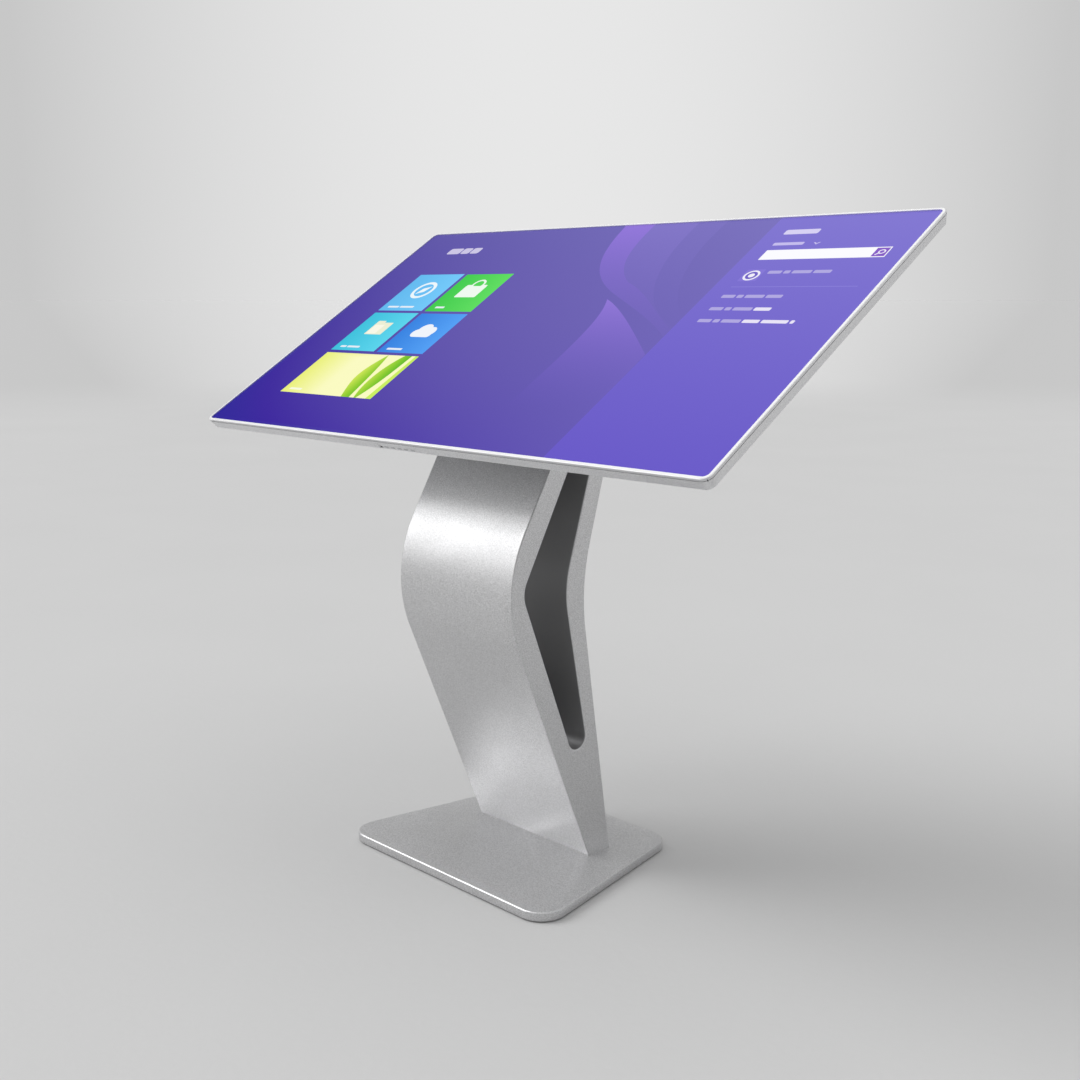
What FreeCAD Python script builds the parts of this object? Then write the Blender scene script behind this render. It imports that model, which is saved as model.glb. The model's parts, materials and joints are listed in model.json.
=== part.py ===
"""Touchscreen kiosk: a wide display slab, tilted towards the visitor, on a bent
two-legged column with a through slot, standing on a heavy floor plate.

Millimetres.  The origin is on the floor under the middle of the base plate,
X runs along the display, the visitor stands at -Y and Z is up.
The display's own pieces are modelled flat: x along the screen, y up the screen,
and depths counted backwards from the rim's front plane.
"""
import FreeCAD, Part
import math
import os

from FreeCAD import Placement, Rotation, Vector

# --- base -------------------------------------------------------------------
base_front_width = 529.0
base_back_width = 381.0
base_depth = 396.0
base_corner_radius = 45.0
base_plate_thickness = 15.0
base_edge_chamfer = 1.5
floor_pad_radius = 22.0
floor_pad_height = 3.0
floor_pad_recess = 1.5
floor_pad_inset = 62.0

# --- column -----------------------------------------------------------------
# Each face of the column is a lower line and an upper line joined by a bend:
# y at the floor plate, lean of the lower line, height of the bend,
# lean of the upper line (degrees from vertical) and the bend's radius.
column_front = (33.0, 22.9, 521.9, 30.0, 223.0)
slot_front = (68.8, 21.47, 518.9, 28.63, 46.6)
slot_rear = (68.4, 11.33, 513.1, 17.18, 177.7)
column_rear = (87.6, 8.92, 509.8, 15.95, 346.0)
column_width = 285.0
column_edge_radius = 2.5
slot_foot_radius = 20.7
slot_head_radius = 14.0
sheet_thickness = 3.0
rib_thickness = 4.0
rib_heights = (330.0, 430.0, 610.0, 720.0)
foot_block_thickness = 20.0
column_bolt_radius = 4.0
column_bolt_head_radius = 8.0
column_bolt_rows = (45.0, 75.0)
column_bolt_side_inset = 30.5
column_bolt_inner = 46.0
column_bolt_grip = 14.0
head_plate_thickness = 8.0
head_bolt_radius = 4.0
head_bolt_head_radius = 6.5
head_bolt_columns = (-108.0, 0.0, 108.0)
head_bolt_row_inset = 24.0

# --- mains entry --------------------------------------------------------------
cable_entry_y = 60.0
grommet_radius = 10.0
grommet_bore_radius = 5.5
grommet_flange_radius = 14.0
grommet_flange_height = 3.0
terminal_box = (50.0, 30.0, 26.0)
terminal_box_x = 47.0
cable_radius = 4.0
cable_bend_radius = 60.0
cable_hole_radius = 8.0

# --- display ------------------------------------------------------------------
screen_width = 1209.6
screen_height = 680.4
screen_tilt = 32.16
screen_low_edge_y = -245.0
screen_low_edge_z = 768.1
rim_width = 5.1
rim_depth = 4.5
rim_chamfer = 1.0
rim_inner_radius = 9.0
rim_outer_radius = 14.0
glass_recess = 2.5
glass_overlap = 1.2
glass_thickness = 4.0
glass_fit = 0.2
frame_spigot_wall = 1.0
frame_spigot_depth = 7.3
seam_width = 0.8
seam_inset = 0.8
side_frame_wall = 2.0
side_frame_fit = 0.2
side_frame_taper = 4.0
side_frame_edge_radius = 1.0
side_frame_flange_width = 12.0
rear_clearance = 7.2
rear_cover_thickness = 2.0
rear_cover_seam = 0.6
rear_cover_opening = (744.0, 446.0)
touch_sensor_thickness = 0.8
lcd_thickness = 2.0
diffuser_thickness = 1.0
light_guide_thickness = 3.0
backplate_thickness = 1.5
panel_margin = 0.4
panel_corner_radius = 10.0
led_strip_height = 3.5
frame_bracket_width = 30.0

# --- keys on the lower edge ---------------------------------------------------
key_strip_centre = -35.0
key_strip_length = 104.0
key_strip_front = 9.0
key_strip_recess = 0.8
key_setback = 3.2
key_length = 9.0
key_height = 3.0
key_pitch = 17.0
key_fit = 0.3
key_proud = 0.5
key_flange = 0.5
key_flange_thickness = 1.0
key_travel = 0.8
key_names = ("input_key", "menu_key", "minus_key", "plus_key", "power_key")
sensor_window_offset = -47.0

# --- rear housing -------------------------------------------------------------
housing_width = 740.0
housing_bottom = -215.0
housing_top = 240.0
housing_depth = 50.0
housing_draft = 18.0
housing_corner_radius = 24.0
housing_wall = 2.0
housing_flange = 14.0
rail_offset = 187.0
rail_width = 30.0
rail_wall = 3.0
rail_bottom = -190.0
rail_top = 215.0
mounting_plate_thickness = 6.0
mounting_plate_width = 404.0
mounting_plate_margin = 22.0

# --- service door -------------------------------------------------------------
door_width = 344.0
door_height = 124.0
door_centre_y = 152.0
door_thickness = 2.0
door_gap = 0.3
door_overlap = 12.0
door_corner_radius = 8.0
hinge_pin_radius = 1.5
hinge_knuckle_radius = 3.2
hinge_fit = 0.06
hinge_offset = 4.0
hinge_length = 36.0
hinge_spacing = 76.0
hinge_leaf_width = 14.0
hinge_leaf_thickness = 1.2
hinge_gap = 0.4
lock_inset = 12.0
lock_radius = 8.0
lock_fit = 0.08
lock_head_radius = 11.0
lock_head_height = 2.0
lock_length = 2.9
lock_sleeve_wall = 1.6
lock_sleeve_reach = 1.8
cam_length = 26.0
cam_width = 10.0
cam_thickness = 2.0

# --- fans, speakers, switch ---------------------------------------------------
fan_offset = 290.0
fan_centre_y = -20.0
fan_size = 80.0
fan_depth = 25.0
fan_duct_radius = 37.5
fan_rotor_radius = 36.0
fan_hub_radius = 15.0
fan_shaft_radius = 1.5
fan_shaft_fit = 0.06
fan_blades = 7
fan_blade_thickness = 1.2
fan_blade_pitch = 38.0
vent_slot_width = 4.0
vent_slot_pitch = 8.0
speaker_offset = 290.0
speaker_centre_y = -150.0
speaker_length = 120.0
speaker_height = 56.0
speaker_depth = 20.0
switch_offset = 290.0
switch_centre_y = 62.0
switch_length = 27.0
switch_height = 19.0
switch_depth = 24.0
switch_rim = 2.5
rocker_length = 20.0
rocker_width = 12.0
rocker_tilt = 12.0
rocker_fit = 0.4
rocker_pin_radius = 1.5
rocker_pin_fit = 0.08

# --- electronics --------------------------------------------------------------
power_supply_box = (150.0, 104.0, 34.0)
power_supply_centre = (82.0, 152.0)
player_box = (150.0, 104.0, 36.0)
player_centre = (-82.0, 152.0)
main_board_size = (240.0, 130.0)
main_board_centre = (0.0, -50.0)
backlight_board_size = (110.0, 70.0)
backlight_board_centre = (-290.0, 150.0)
touch_board_size = (90.0, 60.0)
touch_board_centre = (290.0, 150.0)
board_thickness = 1.6
board_standoff = 7.0
board_standoff_radius = 3.0

# --- screws -------------------------------------------------------------------
screw_radius = 1.5
screw_head_radius = 3.0
screw_head_height = 1.6
screw_length = 3.4
screw_pitch = 150.0

# --- derived levels -----------------------------------------------------------
base_top = floor_pad_height + base_plate_thickness
tilt = math.radians(screen_tilt)
up_y = math.cos(tilt)
up_z = math.sin(tilt)
screen_centre_y = screen_low_edge_y + screen_height / 2 * up_y
screen_centre_z = screen_low_edge_z + screen_height / 2 * up_z
display_place = Placement(Vector(0, screen_centre_y, screen_centre_z),
                          Rotation(Vector(1, 0, 0), screen_tilt))
outer_width = screen_width + 2 * rim_width
outer_height = screen_height + 2 * rim_width
glass_width = screen_width + 2 * glass_overlap
glass_height = screen_height + 2 * glass_overlap
glass_radius = rim_inner_radius + glass_overlap
glass_back = glass_recess + glass_thickness
touch_back = glass_back + touch_sensor_thickness
lcd_back = touch_back + lcd_thickness
diffuser_back = lcd_back + diffuser_thickness
guide_back = diffuser_back + light_guide_thickness
backplate_back = guide_back + backplate_thickness
display_thickness = backplate_back + rear_clearance
key_depth = backplate_back + key_setback
column_bolt_outer = column_width / 2 - column_bolt_side_inset
column_bolt_columns = (-column_bolt_outer, -column_bolt_inner,
                       column_bolt_inner, column_bolt_outer)
side_frame_front = rim_depth + seam_width
rear_cover_front = display_thickness - rear_cover_thickness
housing_back = display_thickness + housing_depth
panel_width = screen_width + 2 * panel_margin
panel_height = screen_height + 2 * panel_margin
mounting_back = housing_back - housing_wall
mounting_front = mounting_back - mounting_plate_thickness
hinge_axis_x = door_width / 2 + hinge_offset
hinge_axis_depth = housing_back + hinge_knuckle_radius + 0.5
parts = {}


# --- drawing helpers ------------------------------------------------------------
def rounded_outline(points, radii):
    """Closed wire through points, with an arc of the given radius at each one."""
    count = len(points)
    starts, ends, middles = [], [], []
    for i, corner in enumerate(points):
        before = (points[i - 1] - corner).normalize()
        after = (points[(i + 1) % count] - corner).normalize()
        half = before.getAngle(after) / 2
        reach = radii[i] / math.tan(half)
        inwards = (before + after).normalize()
        centre = corner + inwards * (radii[i] / math.sin(half))
        starts.append(corner + before * reach)
        ends.append(corner + after * reach)
        middles.append(centre - inwards * radii[i])
    edges = []
    for i in range(count):
        if radii[i] > 0:
            edges.append(Part.Arc(starts[i], middles[i], ends[i]).toShape())
        following = starts[(i + 1) % count]
        if ends[i].distanceToPoint(following) > 1e-6:
            edges.append(Part.makeLine(ends[i], following))
    return Part.Wire(edges)


def rectangle(width, height, radius, depth, centre=(0.0, 0.0)):
    """Rounded rectangle parallel to the screen, at a depth behind the rim."""
    x, y = centre
    corners = [Vector(x + a * width / 2, y + b * height / 2, -depth)
               for a, b in ((-1, -1), (1, -1), (1, 1), (-1, 1))]
    return rounded_outline(corners, [radius] * 4)


def slab(width, height, radius, near, far, centre=(0.0, 0.0)):
    """Rounded plate parallel to the screen, between two depths."""
    face = Part.Face(rectangle(width, height, radius, near, centre))
    return face.extrude(Vector(0, 0, near - far))


def tapered(near_size, far_size, near_radius, far_radius, near, far, centre=(0.0, 0.0)):
    """Rounded block whose outline changes size between two depths."""
    front = rectangle(*near_size, near_radius, near, centre)
    back = rectangle(*far_size, far_radius, far, centre)
    return Part.makeLoft([front, back], True, True)


def rod(radius, near, far, x, y):
    """Round bar square to the screen, between two depths."""
    return Part.makeCylinder(radius, far - near, Vector(x, y, -far))


def upright(radius, bottom, top, x, y):
    """Round bar standing upright."""
    return Part.makeCylinder(radius, top - bottom, Vector(x, y, bottom))


def block(x0, x1, y0, y1, z0, z1):
    """Plain box between three pairs of limits."""
    return Part.makeBox(x1 - x0, y1 - y0, z1 - z0, Vector(x0, y0, z0))


def fuse(shapes):
    """One clean solid from shapes that touch or overlap."""
    first, rest = shapes[0], shapes[1:]
    return (first.fuse(rest) if rest else first).removeSplitter()


def keep(name, *solids):
    """Store a piece that is already in the kiosk's own frame."""
    parts[name] = solids[0] if len(solids) == 1 else Part.makeCompound(list(solids))


def keep_on_display(name, *solids):
    """Store a piece modelled flat, tilted to its place on the display."""
    keep(name, *[solid.transformed(display_place.toMatrix(), True) for solid in solids])


# --- column geometry --------------------------------------------------------------
def bend_point(face, offset):
    """Where a column face's two lines meet, once moved back by an offset."""
    foot, lower, bend, upper, radius = face
    low_slope = math.tan(math.radians(lower))
    high_slope = math.tan(math.radians(upper))
    bend_y = foot - low_slope * (bend - base_top)
    rise = offset * (1 / math.cos(math.radians(lower)) - 1 / math.cos(math.radians(upper)))
    z = bend + rise / (low_slope + high_slope)
    y = bend_y - low_slope * (z - bend) + offset / math.cos(math.radians(lower))
    return Vector(0, y, z)


def foot_point(face, offset, z):
    """Point on a face's lower line at a height."""
    corner = bend_point(face, offset)
    return Vector(0, corner.y + math.tan(math.radians(face[1])) * (corner.z - z), z)


def head_point(face, offset, depth):
    """Point on a face's upper line at a depth behind the display's rim plane."""
    corner = bend_point(face, offset)
    lean = math.radians(face[3])
    line = Vector(0, math.sin(lean), math.cos(lean))
    back = Vector(0, math.sin(tilt), -math.cos(tilt))
    rim = Vector(0, screen_centre_y, screen_centre_z)
    travel = (depth - (corner - rim).dot(back)) / line.dot(back)
    return corner + line * travel


def column_slice(front, front_offset, rear, rear_offset, half_width):
    """Block between two of the column's faces, from the floor plate to the housing."""
    points = [
        foot_point(front, front_offset, base_top),
        bend_point(front, front_offset),
        head_point(front, front_offset, housing_back),
        head_point(rear, rear_offset, housing_back),
        bend_point(rear, rear_offset),
        foot_point(rear, rear_offset, base_top),
    ]
    radii = [0, front[4] - front_offset, 0, 0, rear[4] - rear_offset, 0]
    face = Part.Face(rounded_outline(points, radii))
    face.translate(Vector(-half_width, 0, 0))
    return face.extrude(Vector(2 * half_width, 0, 0))


def crossing(first, first_offset, second, second_offset, upper):
    """Where the lower or the upper lines of two faces meet."""
    a = bend_point(first, first_offset)
    b = bend_point(second, second_offset)
    if upper:
        slope_a = math.tan(math.radians(first[3]))
        slope_b = math.tan(math.radians(second[3]))
    else:
        slope_a = -math.tan(math.radians(first[1]))
        slope_b = -math.tan(math.radians(second[1]))
    z = (b.y - a.y + slope_a * a.z - slope_b * b.z) / (slope_a - slope_b)
    return Vector(0, a.y + slope_a * (z - a.z), z)


def slot_block(growth, half_width):
    """Kite-shaped block that fills the slot, grown on every side."""
    points = [
        crossing(slot_front, -growth, slot_rear, growth, False),
        bend_point(slot_front, -growth),
        crossing(slot_front, -growth, slot_rear, growth, True),
        bend_point(slot_rear, growth),
    ]
    radii = [slot_foot_radius + growth, slot_front[4] + growth,
             slot_head_radius + growth, slot_rear[4] - growth]
    face = Part.Face(rounded_outline(points, radii))
    face.translate(Vector(-half_width, 0, 0))
    return face.extrude(Vector(2 * half_width, 0, 0))


def column_cavity():
    """Space inside the column's sheet metal, with the slot's walls left out."""
    inner = column_slice(column_front, sheet_thickness, column_rear, -sheet_thickness,
                         column_width / 2 - sheet_thickness)
    return inner.cut(slot_block(sheet_thickness, column_width))


def round_long_edges(solid, outside):
    """Round the long outer edges of a full-width skin."""
    edges = []
    for edge in solid.Edges:
        middle = edge.valueAt((edge.FirstParameter + edge.LastParameter) / 2)
        at_side = abs(abs(middle.x) - column_width / 2) < 1e-3
        if at_side and outside(middle) and edge.BoundBox.XLength < 1e-3:
            edges.append(edge)
    return solid.makeFillet(column_edge_radius, edges)


def on_face(point, face):
    """True for a point on one of the column's outer faces."""
    corner = bend_point(face, 0)
    lower, upper = math.radians(face[1]), math.radians(face[3])
    low_normal = Vector(0, math.cos(lower), math.sin(lower))
    high_normal = Vector(0, math.cos(upper), -math.sin(upper))
    inwards = (low_normal + high_normal).normalize()
    centre = corner + inwards * (face[4] / math.cos((lower + upper) / 2))
    flat = Vector(0, point.y, point.z)
    misses = (abs((flat - corner).dot(low_normal)), abs((flat - corner).dot(high_normal)),
              abs(flat.distanceToPoint(centre) - face[4]))
    return min(misses) < 0.01


# --- base -------------------------------------------------------------------------
def base_outline(z, inset):
    """Outline of the floor plate, wider at the front than at the back."""
    front = base_front_width / 2 - inset
    back = base_back_width / 2 - inset
    depth = base_depth / 2 - inset
    points = [Vector(-front, -depth, z), Vector(front, -depth, z),
              Vector(back, depth, z), Vector(-back, depth, z)]
    return points


def pad_places():
    """Centres of the floor pads: one near each of the plate's corners, one in the middle."""
    return [(p.x, p.y) for p in base_outline(0, floor_pad_inset)] + [(0.0, 0.0)]


def bolt_places():
    """Centres of the bolts that hold the column down."""
    return [(x, y) for x in column_bolt_columns for y in column_bolt_rows]


def make_base():
    outline = rounded_outline(base_outline(floor_pad_height, 0.0), [base_corner_radius] * 4)
    plate = Part.Face(outline).extrude(Vector(0, 0, base_plate_thickness))
    rim = [edge for edge in plate.Edges if edge.BoundBox.ZMin > base_top - 1e-3]
    plate = plate.makeChamfer(base_edge_chamfer, rim)
    pads = []
    for x, y in pad_places():
        top = floor_pad_height + floor_pad_recess
        pads.append(upright(floor_pad_radius, 0, top, x, y))
        plate = plate.cut(upright(floor_pad_radius + 0.2, floor_pad_height, top, x, y))
    sink = column_bolt_head_radius - column_bolt_radius
    for x, y in bolt_places():
        cone = Part.makeCone(column_bolt_head_radius + 0.2, column_bolt_radius + 0.2, sink,
                             Vector(x, y, floor_pad_height))
        plate = plate.cut(cone.fuse(upright(column_bolt_radius + 0.2, floor_pad_height,
                                            base_top, x, y)))
    plate = plate.cut(upright(grommet_radius, floor_pad_height, base_top, 0, cable_entry_y))
    keep("base_plate", plate)
    keep("floor_pads", *pads)


# --- column -----------------------------------------------------------------------
def leg_quarters(half_width):
    """Blocks that part the cheeks into two legs, each mitred at its bend."""
    front, rear = bend_point(column_front, 0), bend_point(column_rear, 0)
    middle = (bend_point(slot_front, 0) + bend_point(slot_rear, 0)) / 2
    reach = Vector(0, 300, 0)
    foot_gap = crossing(slot_front, 0, slot_rear, 0, False) + Vector(0, 0, 2 * slot_foot_radius)
    head_gap = crossing(slot_front, 0, slot_rear, 0, True) - Vector(0, 0, 2 * slot_head_radius)
    foot = (foot_point(column_front, 0, base_top) + foot_point(column_rear, 0, base_top)) / 2
    head = (head_point(column_front, 0, housing_back)
            + head_point(column_rear, 0, housing_back)) / 2
    sill, lintel = foot - Vector(0, 0, 50), head + Vector(0, 50, 100)
    front_out = front + (front - middle) * 4
    rear_out = rear + (rear - middle) * 4
    blocks = []
    for corners in (
        [middle, foot_gap, foot, sill, sill - reach, front_out],
        [middle, front_out, lintel - reach, lintel, head, head_gap],
        [middle, rear_out, sill + reach, sill, foot, foot_gap],
        [middle, head_gap, head, lintel, lintel + reach, rear_out],
    ):
        face = Part.Face(rounded_outline(corners, [0] * 6))
        face.translate(Vector(-half_width, 0, 0))
        blocks.append(face.extrude(Vector(2 * half_width, 0, 0)))
    return blocks


def make_column():
    half = column_width / 2
    inner_half = half - sheet_thickness
    front = column_slice(column_front, 0, column_front, sheet_thickness, half)
    rear = column_slice(column_rear, -sheet_thickness, column_rear, 0, half)
    keep("column_front_skin", round_long_edges(front, lambda p: on_face(p, column_front)))
    keep("column_rear_skin", round_long_edges(rear, lambda p: on_face(p, column_rear)))
    slot_walls = slot_block(sheet_thickness, half)
    keep("slot_liner", slot_walls.cut(slot_block(0, half + 1)))
    core = column_slice(column_front, sheet_thickness, column_rear, -sheet_thickness, half)
    quarters = leg_quarters(half)
    for name, low, high in (("column_side_left", -half, -inner_half),
                            ("column_side_right", inner_half, half)):
        cheek = core.common(block(low, high, -500, 500, 0, 1200)).cut(slot_walls)
        keep(name, *[cheek.common(quarter).Solids[0] for quarter in quarters])


def foot_block_top():
    return base_top + foot_block_thickness


def make_column_inside(cable):
    cavity = column_cavity()
    foot = cavity.common(block(-300, 300, -500, 500, base_top, foot_block_top()))
    bolts = []
    bolt_top = base_top + column_bolt_grip
    sink = column_bolt_head_radius - column_bolt_radius
    for x, y in bolt_places():
        foot = foot.cut(upright(column_bolt_radius + 0.05, base_top, bolt_top + 1, x, y))
        head = Part.makeCone(column_bolt_head_radius, column_bolt_radius, sink,
                             Vector(x, y, floor_pad_height + 0.2))
        shank = upright(column_bolt_radius, floor_pad_height + 0.2, bolt_top, x, y)
        bolts.append(fuse([head, shank]))
    foot = foot.cut(upright(grommet_radius, base_top, foot_block_top(), 0, cable_entry_y))
    keep("foot_block", foot)
    keep("column_bolts", *bolts)
    ribs = []
    for z in rib_heights:
        level = cavity.common(block(-300, 300, -500, 500, z, z + rib_thickness))
        ribs.extend(level.cut(cable).Solids)
    keep("column_ribs", *ribs)


# --- mains entry and the cable inside the column ------------------------------------
def terminal_bottom():
    return foot_block_top()


def cable_points():
    """Corners of the cable's route: terminal box, rear leg, housing, power supply."""
    x = terminal_box_x
    leg_low = (bend_point(slot_rear, sheet_thickness) + bend_point(column_rear, -sheet_thickness)) / 2
    low = (foot_point(slot_rear, sheet_thickness, 250) +
           foot_point(column_rear, -sheet_thickness, 250)) / 2
    head = (head_point(slot_rear, sheet_thickness, housing_back) +
            head_point(column_rear, -sheet_thickness, housing_back)) / 2
    run = (head - leg_low).normalize()
    inside = head + run * cable_turn_travel(head, run)
    supply_low = power_supply_centre[1] - power_supply_box[1] / 2
    end = display_place.multVec(Vector(x, supply_low, -cable_depth()))
    start = Vector(x, cable_entry_y, terminal_bottom() + terminal_box[2])
    lift = start + Vector(0, 0, cable_bend_radius)
    points = [start, lift, low, leg_low, inside, end]
    return [Vector(x, p.y, p.z) for p in points]


def cable_depth():
    """Depth at which the cable enters the power supply."""
    return backplate_back + power_supply_box[2] / 2


def cable_turn_travel(head, run):
    """How far past the housing's back the cable goes before it turns up the screen."""
    back = Vector(0, math.sin(tilt), -math.cos(tilt))
    return (cable_depth() - housing_back) / run.dot(back)


def cable_sweep(radius):
    """Round tube along the cable's route, with an arc at each corner."""
    points = cable_points()
    edges = []
    last = points[0]
    for i in range(1, len(points) - 1):
        corner = points[i]
        before = (points[i - 1] - corner).normalize()
        after = (points[i + 1] - corner).normalize()
        half = before.getAngle(after) / 2
        room = min(points[i - 1].distanceToPoint(corner), points[i + 1].distanceToPoint(corner))
        bend = min(cable_bend_radius, 0.45 * room * math.tan(half))
        reach = bend / math.tan(half)
        inwards = (before + after).normalize()
        middle = corner + inwards * (bend / math.sin(half) - bend)
        edges.append(Part.makeLine(last, corner + before * reach))
        edges.append(Part.Arc(corner + before * reach, middle, corner + after * reach).toShape())
        last = corner + after * reach
    edges.append(Part.makeLine(last, points[-1]))
    path = Part.Wire(edges)
    circle = Part.Wire(Part.makeCircle(radius, points[0], points[1] - points[0]))
    return path.makePipeShell([circle], True, False)


def make_mains_entry():
    top = foot_block_top()
    body = upright(grommet_radius - 0.1, floor_pad_height, top, 0, cable_entry_y)
    flange = upright(grommet_flange_radius, top, top + grommet_flange_height, 0, cable_entry_y)
    bore = upright(grommet_bore_radius, 0, top + grommet_flange_height + 1, 0, cable_entry_y)
    keep("cable_grommet", fuse([body, flange]).cut(bore))
    length, depth, height = terminal_box
    box = block(terminal_box_x - length / 2, terminal_box_x + length / 2,
                cable_entry_y - depth / 2, cable_entry_y + depth / 2,
                terminal_bottom(), terminal_bottom() + height)
    keep("terminal_box", box.makeFillet(2.0, [e for e in box.Edges if e.BoundBox.ZLength > 1]))
    keep("mains_cable", cable_sweep(cable_radius))


# --- display: glass side --------------------------------------------------------------
def make_front_frame():
    outer = slab(outer_width, outer_height, rim_outer_radius, 0, rim_depth)
    front_edges = [e for e in outer.Edges if e.BoundBox.ZMin > -1e-3]
    outer = outer.makeChamfer(rim_chamfer, front_edges)
    spigot_width = glass_width + 2 * (glass_fit + frame_spigot_wall)
    spigot_height = glass_height + 2 * (glass_fit + frame_spigot_wall)
    spigot_radius = glass_radius + glass_fit + frame_spigot_wall
    spigot = slab(spigot_width, spigot_height, spigot_radius, rim_depth, frame_spigot_depth)
    window = slab(screen_width, screen_height, rim_inner_radius, -1, glass_recess)
    seat = slab(glass_width + 2 * glass_fit, glass_height + 2 * glass_fit,
                glass_radius + glass_fit, glass_recess, frame_spigot_depth + 1)
    keep_on_display("front_frame", fuse([outer, spigot]).cut(window).cut(seat))
    gasket = slab(outer_width - 2 * seam_inset, outer_height - 2 * seam_inset,
                  rim_outer_radius - seam_inset, rim_depth, side_frame_front)
    hole = slab(spigot_width + 0.1, spigot_height + 0.1, spigot_radius + 0.05,
                rim_depth, side_frame_front)
    keep_on_display("seam_gasket", gasket.cut(hole))


def make_panel():
    keep_on_display("cover_glass", slab(glass_width, glass_height, glass_radius,
                                        glass_recess, glass_back))
    keep_on_display("touch_sensor", slab(panel_width, panel_height, panel_corner_radius,
                                         glass_back, touch_back))
    keep_on_display("lcd_panel", slab(panel_width, panel_height, panel_corner_radius,
                                      touch_back, lcd_back))
    keep_on_display("diffuser_sheet", slab(panel_width, panel_height, panel_corner_radius,
                                           lcd_back, diffuser_back))
    guide_height = panel_height - 2 * led_strip_height - 2
    keep_on_display("light_guide", slab(panel_width - 2, guide_height, 2.0,
                                        diffuser_back, guide_back))
    strips = []
    for side in (-1, 1):
        y = side * (guide_height / 2 + 0.4 + led_strip_height / 2)
        strips.append(slab(panel_width - 2 * panel_corner_radius - 4, led_strip_height, 0.5,
                           diffuser_back, guide_back, (0, y)))
    keep_on_display("led_strips", *strips)
    plate = slab(panel_width, panel_height, panel_corner_radius, guide_back, backplate_back)
    keep_on_display("panel_backplate", plate)


# --- display: side frame and key strip ---------------------------------------------------
def side_outline_size(depth):
    """Outer width and height of the side frame at a depth."""
    run = (depth - side_frame_front) / (display_thickness - side_frame_front)
    return (outer_width - 2 * side_frame_taper * run, outer_height - 2 * side_frame_taper * run)


def side_lean():
    """Lean of the side frame's outer face, in degrees."""
    return math.degrees(math.atan2(side_frame_taper, display_thickness - side_frame_front))


def key_place(x):
    """Frame on the lower outer face: local y runs backwards, local z outwards."""
    half_height = side_outline_size(key_depth)[1] / 2
    lean = math.radians(side_lean())
    along = Vector(0, math.sin(lean), -math.cos(lean))
    outwards = Vector(0, -math.cos(lean), -math.sin(lean))
    turn = Rotation(Vector(-1, 0, 0), along, outwards, "ZYX")
    return Placement(Vector(x, -half_height, -key_depth), turn)


def at_key(solid, x):
    """Move a solid drawn in the key frame to its place along the lower edge."""
    return solid.transformed(key_place(x).toMatrix(), True)


def key_positions():
    middle = (len(key_names) - 1) / 2
    return [key_strip_centre + (i - middle) * key_pitch for i in range(len(key_names))]


def make_side_frame():
    near, far = side_outline_size(side_frame_front), side_outline_size(display_thickness)
    outer = tapered(near, far, rim_outer_radius, rim_outer_radius - side_frame_taper / 2,
                    side_frame_front, display_thickness)
    back_edges = [e for e in outer.Edges if e.BoundBox.ZMax < -display_thickness + 1e-3]
    outer = outer.makeFillet(side_frame_edge_radius, back_edges)
    wall = 2 * side_frame_wall
    inner = tapered((near[0] - wall, near[1] - wall), (far[0] - wall, far[1] - wall),
                    rim_outer_radius - side_frame_wall,
                    rim_outer_radius - side_frame_taper / 2 - side_frame_wall,
                    side_frame_front, display_thickness)
    frame = outer.cut(inner)
    flange_front = rear_cover_front - side_frame_wall
    size = side_outline_size(rear_cover_front)
    flange = slab(size[0] - 1, size[1] - 1, rim_outer_radius - side_frame_taper / 2,
                  flange_front, rear_cover_front)
    reach = 2 * (side_frame_wall + side_frame_flange_width)
    flange = flange.cut(slab(size[0] - reach, size[1] - reach, 4.0,
                             flange_front, rear_cover_front))
    bay = key_strip_length / 2 + 6
    notch = slab(2 * bay, 40, 1.0, flange_front - 1, rear_cover_front + 1,
                 (key_strip_centre, -size[1] / 2 + 10))
    frame = fuse([frame, flange.cut(notch)])
    behind = display_thickness - key_depth + 2
    ahead = key_depth - key_strip_front
    recess = block(-key_strip_length / 2, key_strip_length / 2, -ahead, behind,
                   -key_strip_recess, 5)
    frame = frame.cut(at_key(recess, key_strip_centre))
    for x in key_positions():
        hole = block(-key_length / 2 - key_fit, key_length / 2 + key_fit,
                     -key_height / 2 - key_fit, key_height / 2 + key_fit, -6, 1)
        frame = frame.cut(at_key(hole, x))
    window = block(-3.3, 3.3, -2.3, 2.3, -6, 1)
    frame = frame.cut(at_key(window, key_strip_centre + sensor_window_offset))
    keep_on_display("side_frame", frame)


def make_keys():
    face = -key_strip_recess
    inner = -side_frame_wall - 0.15
    for name, x in zip(key_names, key_positions()):
        cap = block(-key_length / 2, key_length / 2, -key_height / 2, key_height / 2,
                    inner - key_flange_thickness, face + key_proud)
        flange = block(-key_length / 2 - 0.8, key_length / 2 + 0.8,
                       -key_height / 2 - key_flange, key_height / 2 + key_flange,
                       inner - key_flange_thickness, inner)
        keep_on_display(name, at_key(fuse([cap, flange]), x))
    window = block(-3.0, 3.0, -2.0, 2.0, inner - 1, face)
    keep_on_display("sensor_window", at_key(window, key_strip_centre + sensor_window_offset))
    board_near = inner - key_flange_thickness - key_travel - 1.4
    length = key_strip_length + 4
    pieces = [block(-length / 2, length / 2, -1.6, 1.6, board_near - 1, board_near)]
    for x in key_positions():
        pieces.append(block(x - key_strip_centre - 2, x - key_strip_centre + 2, -1.4, 1.4,
                            board_near, inner - key_flange_thickness - key_travel - 0.1))
    for side in (-1, 1):
        near_end = side * (length / 2 - 1.2)
        post = block(min(near_end, side * length / 2), max(near_end, side * length / 2),
                     -1.6, 1.6, board_near - 1, inner - 0.05)
        pieces.append(post)
    keep_on_display("key_board", at_key(fuse(pieces), key_strip_centre))


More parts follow.
